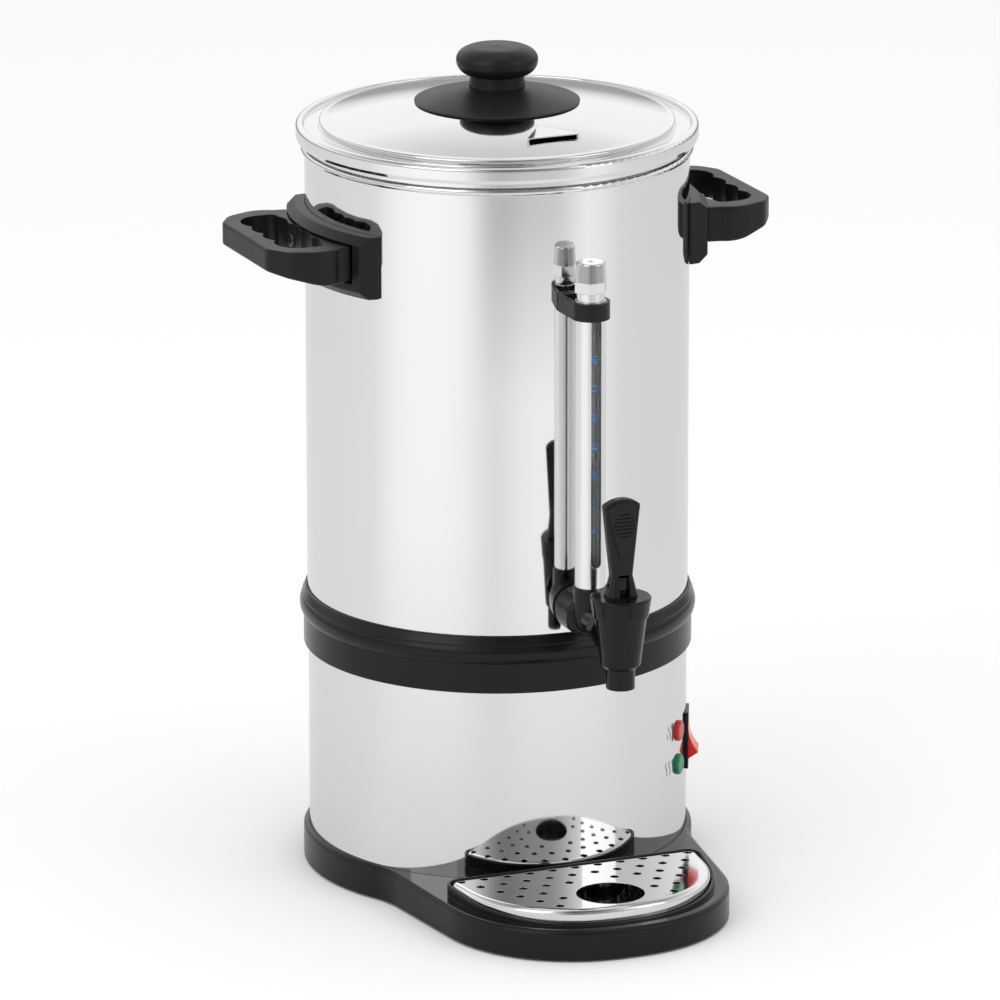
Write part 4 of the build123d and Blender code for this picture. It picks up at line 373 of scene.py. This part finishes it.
textured_black = plastic("textured_black", (0.008, 0.008, 0.0085, 1), 0.36, 0.45, specular=0.26)
satin_black = plastic("satin_black", (0.006, 0.006, 0.0065, 1), 0.20, 0.12, worn_and_highlit=0.2, specular=0.24)
base_black = plastic(
    "base_black", (0.007, 0.007, 0.0075, 1), 0.24, 0.10, worn_and_highlit=0.2, dust=0.02, specular=0.24, deck=0.10
)
smooth_black = plastic(
    "smooth_black", (0.004, 0.004, 0.0045, 1), 0.10, 0.05, worn_and_highlit=0.15, dust=0.01, specular=0.26
)
foot_rubber = plastic("foot_rubber", (0.03, 0.03, 0.03, 1), 0.65, 0.8, worn_and_highlit=0.1, scale=900.0)
pale_silicone = plastic("pale_silicone", (0.62, 0.60, 0.55, 1), 0.45, 0.2, worn_and_highlit=0.1)
cream_ceramic = plastic("cream_phenolic", (0.78, 0.73, 0.63, 1), 0.38, 0.3, worn_and_highlit=0.1)
wire_sheath = plastic("wire_sheath", (0.42, 0.11, 0.05, 1), 0.35, 0.25, worn_and_highlit=0.05)
print("plastics:", textured_black.name, satin_black.name, base_black.name, smooth_black.name)

# %% [markdown]
# The pilot lamps and the rocker are clear-tinted plastic over a bright core. True transmission would
# show the empty housing behind them, so they are opaque with a little scattering under the surface.
# A thin coat gives the polished outside, a brighter tint at the edges and in slow patches stands for
# the light that gathers in the thick parts, and a faint glow keeps them alive in the shade.

# %% Tinted plastic
TINT_EDGE = 0.0008


def tinted(name, deep, bright, glow, roughness=0.12):
    material, tree, shader = start_material(
        name, Base_Color=deep, Roughness=roughness, Specular_IOR_Level=0.3,
        Coat_Weight=0.15, Coat_Roughness=0.05, Subsurface_Weight=0.25, Subsurface_Scale=0.002,
        Emission_Color=bright, Emission_Strength=glow,
    )
    edges = place(tree, edge_group, Width=TINT_EDGE, Amount=1.6)
    mould = place(tree, grain_group, Scale=700.0, Waviness=1.0)
    patches = maths(tree, "MULTIPLY", mould.outputs["Mask"], 0.35)
    # Painted light: edges and slow patches tinted brighter, for light gathering in the thick parts.
    depth = maths(tree, "ADD", edges.outputs["Mask"], patches, clamp=True)
    tree.links.new(shade(tree, depth, deep, bright), shader.inputs["Base Color"])
    uneven = share_of(tree, mould.outputs["Mask"], roughness * 0.7, roughness * 1.4)
    tree.links.new(uneven, shader.inputs["Roughness"])
    bump(tree, shader, 0.05, 0.00005, mould.outputs["Height"], edges.outputs["Normal"])
    return material


red_rocker = tinted("red_rocker", (0.66, 0.006, 0.004, 1), (0.95, 0.10, 0.07, 1), 0.04, roughness=0.08)
red_lens = tinted("red_lens", (0.38, 0.006, 0.006, 1), (0.75, 0.08, 0.07, 1), 0.02)
green_lens = tinted("green_lens", (0.003, 0.13, 0.05, 1), (0.03, 0.38, 0.18, 1), 0.02)
print("tinted:", red_rocker.name, red_lens.name, green_lens.name)

# %% [markdown]
# The sight glass is a plain borosilicate tube. Its transmission and its index stay constants on the
# shader; only a faint scale deposit changes its roughness.

# %% Glass
clear_glass, tree, shader = start_material(
    "clear_glass", Base_Color=(0.95, 0.97, 0.97, 1), Roughness=0.03, IOR=1.47, Transmission_Weight=1.0
)
care = place(tree, care_group, Smears=0.6, Dust=0.0)
tree.links.new(share_of(tree, care.outputs["Smear"], 0.01, 0.18), shader.inputs["Roughness"])
print("glass:", clear_glass.name)

# %% [markdown]
# The heater's sheath is steel that has run hot. Such steel goes straw and then blue in patches, so
# the slow mask of the mould grain is borrowed to wander between the two colours.

# %% Heated metal
STRAW, BLUED = (0.45, 0.38, 0.28, 1), (0.30, 0.32, 0.38, 1)

hot_sheath, tree, shader = start_material(
    "hot_sheath", Base_Color=(0.42, 0.40, 0.37, 1), Metallic=1.0, Roughness=0.4
)
mould = place(tree, grain_group, Scale=500.0, Waviness=1.0)
tree.links.new(shade(tree, mould.outputs["Mask"], STRAW, BLUED), shader.inputs["Base Color"])
tree.links.new(share_of(tree, mould.outputs["Mask"], 0.3, 0.55), shader.inputs["Roughness"])
print("heated metal:", hot_sheath.name)

# %% [markdown]
# Each solid now gets its finish. The table goes from finish to solids, because one finish serves
# several of them, and the count shows that none was forgotten.

# %% Finish for every solid
FINISHES = {
    mirror_steel: ["vessel", "lower_housing", "lid", "heater_well"],
    grid_steel: ["drip_grid"],
    tube_steel: ["gauge_shield", "riser_tube", "lever_pin"],
    basket_steel: ["filter_basket", "basket_cover", "shank_nut", "valve_spring"],
    turned_steel: ["gauge_cap", "gauge_collar"],
    zinc: ["base_screws", "bottom_cover", "handle_nuts", "lid_screw", "lid_washer", "tie_rods", "tie_nuts"],
    dark_zinc: ["handle_screws"],
    textured_black: ["left_handle_grip", "right_handle_grip", "left_handle_plate", "right_handle_plate",
                     "lid_knob", "knob_flange", "tap_lever", "gauge_clamp", "cord_gland", "gland_nut"],
    satin_black: ["lower_band", "upper_ring", "gauge_elbow", "union_nut", "switch_frame"],
    base_black: ["base_moulding"],
    smooth_black: ["tap_body", "tap_bonnet", "valve_stem"],
    foot_rubber: ["rubber_feet", "shank_gasket"],
    pale_silicone: ["gauge_seals", "seat_cup"],
    cream_ceramic: ["terminal_block", "thermal_cutout", "thermostat"],
    wire_sheath: ["wiring"],
    red_rocker: ["switch_rocker"],
    red_lens: ["lamp_red"],
    green_lens: ["lamp_green"],
    clear_glass: ["gauge_glass"],
    hot_sheath: ["boil_element", "keep_warm_element"],
}
dressed = []
for material, names in FINISHES.items():
    for name in names:
        for material_slot in nodes[name].material_slots:
            material_slot.material = material
        dressed.append(name)
print(len(dressed), "solids dressed, left over:", sorted(set(nodes) - set(dressed)))

# %% [markdown]
# The valve spring stands between the seat cup and the bonnet, and shortens as the stem lifts. A solid
# can't do that. Bones would work for a long spring, but this one gives only a few millimetres, so a
# copy of its mesh takes its place, with a mesh of its own.

spring_mesh = nodes["valve_spring"].data.copy()
spring = bpy.data.objects.new("return_spring", spring_mesh)
spring.matrix_world = nodes["valve_spring"].matrix_world
bpy.context.scene.collection.objects.link(spring)
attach(spring, "urn")
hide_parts("valve_spring")
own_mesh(spring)

# %% [markdown]
# Print has no thickness worth a solid. It could be a texture, but at this size its edges would blur,
# so it is thin mesh: laid out flat first, in metres, with x along the wall and y up, and then wrapped
# onto the glass or the housing. The wrap turns x into an angle round the axis.

# %% Ink and the wrap
PRINT_LIFT = 0.00005         # how far print on steel stands off, so that the two don't flicker


def ink(name, colour):
    material, tree, shader = start_material(name, Base_Color=colour, Roughness=0.4)
    mould = place(tree, grain_group, Scale=2500.0, Waviness=0.6)
    uneven = shade(tree, mould.outputs["Mask"], colour, lighten(colour, 1.3, 0.02))
    tree.links.new(uneven, shader.inputs["Base Color"])
    return material


def wrap(points, axis, radius, turn):
    """Flat (x, y) points onto an upright cylinder; turn is the angle from the front, towards +X."""
    wrapped = []
    for x, z in points:
        angle = turn + x / radius
        wrapped.append((axis.x + radius * sin(angle), axis.y - radius * cos(angle), z))
    return wrapped


def mesh_piece(name, points, faces, material, body):
    """A piece of thin mesh that rides on a body."""
    mesh = bpy.data.meshes.new(name)
    mesh.from_pydata(points, [], faces)
    mesh.materials.append(material)
    piece = bpy.data.objects.new(name, mesh)
    bpy.context.scene.collection.objects.link(piece)
    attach(piece, body)
    print(name, len(faces), "faces")


print("print tools ready")

# %% [markdown]
# The gauge is marked in cups, in blue, with a number and a short line for every five. The numbers lie
# on their side to fit the narrow slot. Blender's own text gives their outlines, turned into a mesh
# before it is wrapped round the glass.

# %% Numbers as flat mesh
CAPITAL_SHARE = 0.7          # height of a figure as a share of the font's size


def flat_text(words, height):
    """Points and faces of a line of text, centred, height metres tall."""
    curve = bpy.data.curves.new("layout", "FONT")
    curve.body = words
    curve.align_x, curve.align_y = "CENTER", "CENTER"
    curve.size = height / CAPITAL_SHARE
    curve.resolution_u = 3
    layout = bpy.data.objects.new("layout", curve)
    mesh = bpy.data.meshes.new_from_object(layout)
    points = [tuple(v.co[:2]) for v in mesh.vertices]
    faces = [tuple(p.vertices) for p in mesh.polygons]
    bpy.data.objects.remove(layout)
    return points, faces


print("text tool ready")

# %% Gauge scale
SCALE_START = 0.2305         # height of the lowest number
SCALE_STEP = 0.0168          # five cups
SCALE_NUMBERS = range(10, 45, 5)
NUMBER_HEIGHT = 0.0036
TICK_BELOW = 0.0030          # from the middle of a number to its line
TICK = (0.0004, 0.0034)      # thickness and length of that line
GLASS_PRINT = GLASS_RADIUS + 0.00004

scale_points, scale_faces = [], []


def print_on_glass(points, faces):
    first = len(scale_points)
    scale_points.extend(wrap(points, GLASS_AXIS, GLASS_PRINT, 0.0))
    scale_faces.extend([tuple(first + i for i in face) for face in faces])


for step, number in enumerate(SCALE_NUMBERS):
    height = SCALE_START + step * SCALE_STEP
    points, faces = flat_text(str(number), NUMBER_HEIGHT)
    print_on_glass([(-y, x + height) for x, y in points], faces)
    low, high = height - TICK_BELOW, height - TICK_BELOW + TICK[0]
    half = TICK[1] / 2
    print_on_glass([(-half, low), (half, low), (half, high), (-half, high)], [(0, 1, 2, 3)])
blue_ink = ink("blue_ink", (0.05, 0.26, 0.70, 1))
mesh_piece("gauge_scale", scale_points, scale_faces, blue_ink, "urn")

# %% [markdown]
# Behind the glass the metal tube is painted pale, so that the level and the numbers can be read,
# and the pale paint also stands in as painted light for the light that shows through the slot from
# behind. The tube itself is one solid with one finish, so the paint is a curved skin a hair inside
# its wall, open towards the slot in front.

# %% Gauge backing
TUBE_WALL = 0.0012
BACKING_RADIUS = SHIELD_RADIUS - TUBE_WALL - PRINT_LIFT
BACKING_HALF_TURN = 138      # degrees to each side of the tube's rear
BACKING_COLUMNS = 30
BACKING_FOOT, BACKING_HEAD = 0.002, 0.007    # bare metal below and above

backing_heights = (shield_low.z + BACKING_FOOT, shield_high.z - BACKING_HEAD)
backing_points, backing_faces = [], []
for column in range(BACKING_COLUMNS + 1):
    turn = radians(180 - BACKING_HALF_TURN + 2 * BACKING_HALF_TURN * column / BACKING_COLUMNS)
    for height in backing_heights:
        backing_points += wrap([(0.0, height)], GLASS_AXIS, BACKING_RADIUS, turn)
    if column:
        last = 2 * column
        backing_faces.append((last - 2, last, last + 1, last - 1))
# Painted light: the pale strip partly stands for light showing through from behind.
pale_paint_and_painted_light = ink("pale_paint_and_painted_light", (0.95, 0.96, 0.96, 1))
mesh_piece("gauge_backing", backing_points, backing_faces, pale_paint_and_painted_light, "urn")

# %% [markdown]
# Beside the lamps are two plain symbols: an upright bar with rising steam beside the red lamp, for
# brewing, and three wavy lines beside the green one, for keeping warm. A font has no such signs, so
# each is a ribbon that follows a line, wrapped onto the housing.

# %% Ribbons on the housing
SYMBOL_TURN = radians(42)    # compass angle that the flat layout is centred on
WAVE_STEPS = 24

symbol_points, symbol_faces = [], []


def ribbon(line, width):
    """Flat ribbon of one width along a line of (x, y) points."""
    first = len(symbol_points)
    sides = []
    for place_now, (x, y) in enumerate(line):
        before = line[max(place_now - 1, 0)]
        after = line[min(place_now + 1, len(line) - 1)]
        along = Vector((after[0] - before[0], after[1] - before[1])).normalized()
        offset = Vector((-along.y, along.x)) * width / 2
        sides += [(x + offset.x, y + offset.y), (x - offset.x, y - offset.y)]
    symbol_points.extend(wrap(sides, AXIS, HOUSING_RADIUS + PRINT_LIFT, SYMBOL_TURN))
    for n in range(len(line) - 1):
        symbol_faces.append((first + 2 * n, first + 2 * n + 1, first + 2 * n + 3, first + 2 * n + 2))


def wave(turn, middle, height, swing, width):
    """Upright line of one wave at a compass angle in degrees, centred on a height."""
    x = HOUSING_RADIUS * (radians(turn) - SYMBOL_TURN)
    line = []
    for n in range(WAVE_STEPS + 1):
        share = n / WAVE_STEPS
        line.append((x + swing * sin(2 * pi * share), middle + (share - 0.5) * height))
    ribbon(line, width)


print("ribbon tools ready")

# %% Lamp symbols
WARM_TURNS, WARM_HEIGHT = (39.0, 41.3, 43.6), 0.0660
BREW_TURN, BREW_HEIGHT = 43.5, 0.0863
STEAM = ((42.3, 0.0905), (41.4, 0.0872), (40.3, 0.0900), (39.9, 0.0852), (41.9, 0.0842))

for turn in WARM_TURNS:
    wave(turn, WARM_HEIGHT, height=0.0082, swing=0.0009, width=0.0007)
wave(BREW_TURN, BREW_HEIGHT, height=0.0108, swing=0.0, width=0.0019)
for turn, middle in STEAM:
    wave(turn, middle, height=0.0030, swing=0.0004, width=0.0005)
dark_ink = ink("dark_ink", (0.05, 0.05, 0.055, 1))
mesh_piece("lamp_symbols", symbol_points, symbol_faces, dark_ink, "urn")

# %% [markdown]
# The room is what polished steel shows. A low camera sees the floor mirrored in the upright walls and
# the sky in the lid, so both share one tone group: a pale grey with two broad soft panels of brighter
# light, a dark gap between them and a bright wall behind, placed by compass direction round the urn.
# Real panels and flags would light the whole scene as well; tones that only glossy rays see shape the
# reflections and leave the light alone.

# %% Studio tone group
DARKEST = 0.02

studio_group, entry, leave = start_group(
    "studio_tone",
    {"Base": 0.79, "Left": 0.17, "Right": 0.17, "Fade": 0.03, "Reach": 1.0, "Front": 0.0, "Back": 0.0},
    {"Tone": FLOAT},
)
studio_group.interface.new_socket("Direction", in_out="INPUT", socket_type=VECTOR)
level = add(studio_group, "ShaderNodeVectorMath", {"operation": "MULTIPLY"},
            _0=entry.outputs["Direction"], _1=(1.0, 1.0, 0.0))
compass = add(studio_group, "ShaderNodeVectorMath", {"operation": "NORMALIZE"}, _0=level.outputs[0])


def lobe(angle, spread, strength):
    """A soft lobe round a compass angle in degrees, measured from the front towards +X."""
    towards = (sin(radians(angle)), -cos(radians(angle)), 0.0)
    near = dot(studio_group, compass.outputs[0], towards)
    share = ramp(studio_group, near, cos(radians(spread)), 1.0, curve="SMOOTHSTEP")
    return maths(studio_group, "MULTIPLY", share, strength)


print("group", studio_group.name, "started")

# %% Panels, gap and rear wall
left_panel = lobe(-64, 38, entry.outputs["Left"])
right_panel = lobe(15, 40, entry.outputs["Right"])
front_gap = lobe(-6, 37, entry.outputs["Front"])
back_wall = lobe(157, 100, entry.outputs["Back"])
to_the_left = dot(studio_group, compass.outputs[0], (-1.0, 0.0, 0.0))
fade = maths(studio_group, "MULTIPLY", to_the_left, entry.outputs["Fade"])
panels = maths(studio_group, "ADD", maths(studio_group, "ADD", left_panel, right_panel), fade)
panels = maths(studio_group, "MULTIPLY", panels, entry.outputs["Reach"])
whole = maths(studio_group, "ADD", maths(studio_group, "ADD", panels, entry.outputs["Base"]), back_wall)
whole = maths(studio_group, "SUBTRACT", whole, front_gap)
studio_group.links.new(maths(studio_group, "MAXIMUM", whole, DARKEST), leave.inputs["Tone"])
print("group", studio_group.name, "finished")

# %% [markdown]
# The world is the sky of the studio. The camera and the glass see it plain white, matt surfaces get a
# plain even light, and only mirrors see the toned room, with a darker horizon and a darker ceiling
# that give rims and edges their dark lines. Heights are sines of the angle above the horizon, which
# is what the Z of a direction is.

# %% World
AMBIENT = 0.92
GAP_DEPTH, WALL_GAIN = 0.62, 0.30
LIFT = (0.0, 0.14)                           # where the gap and the wall begin and are whole
CEILING, CEILING_TONE = (0.45, 0.80), 0.42
HORIZON, HORIZON_TONE = (0.02, 0.20), 0.50

world = bpy.data.worlds.new("studio")
world.use_nodes = True
bpy.context.scene.world = world
tree = world.node_tree
aim = add(tree, "ShaderNodeTexCoord").outputs["Generated"]
rise = component(tree, aim, "Z")
lifted = ramp(tree, rise, *LIFT, curve="SMOOTHSTEP")
tone = place(tree, studio_group, Direction=aim, Front=maths(tree, "MULTIPLY", lifted, GAP_DEPTH),
             Back=maths(tree, "MULTIPLY", lifted, WALL_GAIN))
ceiling = ramp(tree, rise, *CEILING, low=1.0, high=CEILING_TONE)
horizon = ramp(tree, rise, *HORIZON, low=HORIZON_TONE, high=1.0)
room = maths(tree, "MULTIPLY", tone.outputs["Tone"], maths(tree, "MULTIPLY", ceiling, horizon))
path = add(tree, "ShaderNodeLightPath")
mirrored = shade(tree, path.outputs["Is Glossy Ray"], grey(AMBIENT), room)
seen = maths(tree, "MAXIMUM", path.outputs["Is Camera Ray"], path.outputs["Is Transmission Ray"])
tree.links.new(shade(tree, seen, mirrored, grey(1.0)), tree.nodes["Background"].inputs["Color"])
print("world", world.name)

# %% [markdown]
# The floor is a sheet of matt paper that runs far past the picture, so that no edge shows. It catches
# the urn's shadow. Mirrors see the studio's tones painted on it as light and shade: the lower housing
# mirrors the near floor, where the painted panels hardly reach, the upper vessel the floor further out,
# and only sloping surfaces see the floor beyond that, painted darker.

# %% Floor
FLOOR_HALF = 9.0
PAPER = 0.98
PANELS_REACH, PANELS_NEAR = (0.30, 0.85), 0.2    # distance from the axis, and what is left close by
GAP_REACH, FLOOR_GAP = (1.2, 1.7), 0.30
FAR_REACH, FAR_TONE = (1.9, 3.0), 0.5

floor_mesh = bpy.data.meshes.new("floor")
corners = [(x * FLOOR_HALF, y * FLOOR_HALF, 0) for x, y in ((-1, -1), (1, -1), (1, 1), (-1, 1))]
floor_mesh.from_pydata(corners, [], [(0, 1, 2, 3)])
floor = bpy.data.objects.new("floor", floor_mesh)
bpy.context.scene.collection.objects.link(floor)
floor_paper, tree, shader = start_material(
    "floor_paper", Base_Color=grey(PAPER), Roughness=0.9, Specular_IOR_Level=0.0
)
spot = add(tree, "ShaderNodeNewGeometry").outputs["Position"]
from_axis = add(tree, "ShaderNodeVectorMath", {"operation": "SUBTRACT"}, _0=spot, _1=tuple(AXIS)).outputs[0]
away = add(tree, "ShaderNodeVectorMath", {"operation": "LENGTH"}, _0=from_axis).outputs["Value"]
tone = place(tree, studio_group, Direction=from_axis, Reach=ramp(tree, away, *PANELS_REACH, low=PANELS_NEAR),
             Front=ramp(tree, away, *GAP_REACH, high=FLOOR_GAP))
# Painted light and shade that only mirrors see: panels, a dark gap and a darker far floor.
far = ramp(tree, away, *FAR_REACH, low=1.0, high=FAR_TONE)
painted_light_on_floor = maths(tree, "MULTIPLY", tone.outputs["Tone"], far)
path = add(tree, "ShaderNodeLightPath")
tree.links.new(shade(tree, path.outputs["Is Glossy Ray"], grey(PAPER), painted_light_on_floor), shader.inputs["Base Color"])
floor_mesh.materials.append(floor_paper)
print("floor", FLOOR_HALF * 2, "m")

# %% [markdown]
# Three large panels light the urn: a key from the upper left, a weaker fill from the right and a top
# panel that draws the highlights on the knob, the handles and the ring. Small lamps would give hard
# shadows; these are large for their distance, so that every shadow is soft.

# %% Lamps
AIM_HEIGHT = 0.25            # the urn's middle


def panel(name, turn, rise, distance, size, power):
    """Area light aimed at the urn's middle, at a compass angle from the front towards +X."""
    lamp = bpy.data.lights.new(name, "AREA")
    lamp.shape = "RECTANGLE"
    lamp.size, lamp.size_y = size
    lamp.energy = power
    holder = bpy.data.objects.new(name, lamp)
    turn, rise = radians(turn), radians(rise)
    outward = Vector((sin(turn) * cos(rise), -cos(turn) * cos(rise), sin(rise)))
    holder.location = Vector((AXIS.x, AXIS.y, AIM_HEIGHT)) + outward * distance
    holder.rotation_euler = outward.to_track_quat("Z", "Y").to_euler()
    bpy.context.scene.collection.objects.link(holder)


panel("key_panel", turn=-62, rise=34, distance=2.6, size=(1.4, 2.0), power=9)
panel("fill_panel", turn=40, rise=30, distance=2.8, size=(1.2, 2.0), power=5)
panel("top_panel", turn=0, rise=86, distance=2.2, size=(2.0, 1.6), power=5)
print("three panels")

# %% [markdown]
# The camera stands about five metres off with a long lens, which keeps the urn's sides almost
# parallel, and looks down a little from the left, so that the lid's top and the drip tray both show.

# %% Camera
LENS, SENSOR = 313.6, 36.0                   # millimetres
CAMERA_FROM_AXIS = (-1.925, -4.427)
CAMERA_HEIGHT = 1.6205
CAMERA_TURNS = (73.75, 0.04, -23.53)         # degrees

camera_data = bpy.data.cameras.new("camera")
camera_data.sensor_width = SENSOR
camera_data.lens = LENS
camera_data.clip_end = 60.0
camera = bpy.data.objects.new("camera", camera_data)
camera.location = (AXIS.x + CAMERA_FROM_AXIS[0], AXIS.y + CAMERA_FROM_AXIS[1], CAMERA_HEIGHT)
camera.rotation_euler = [radians(turn) for turn in CAMERA_TURNS]
bpy.context.scene.collection.objects.link(camera)
bpy.context.scene.camera = camera
bpy.context.scene.view_settings.view_transform = "Standard"
print("camera at", tuple(round(v, 3) for v in camera.location))
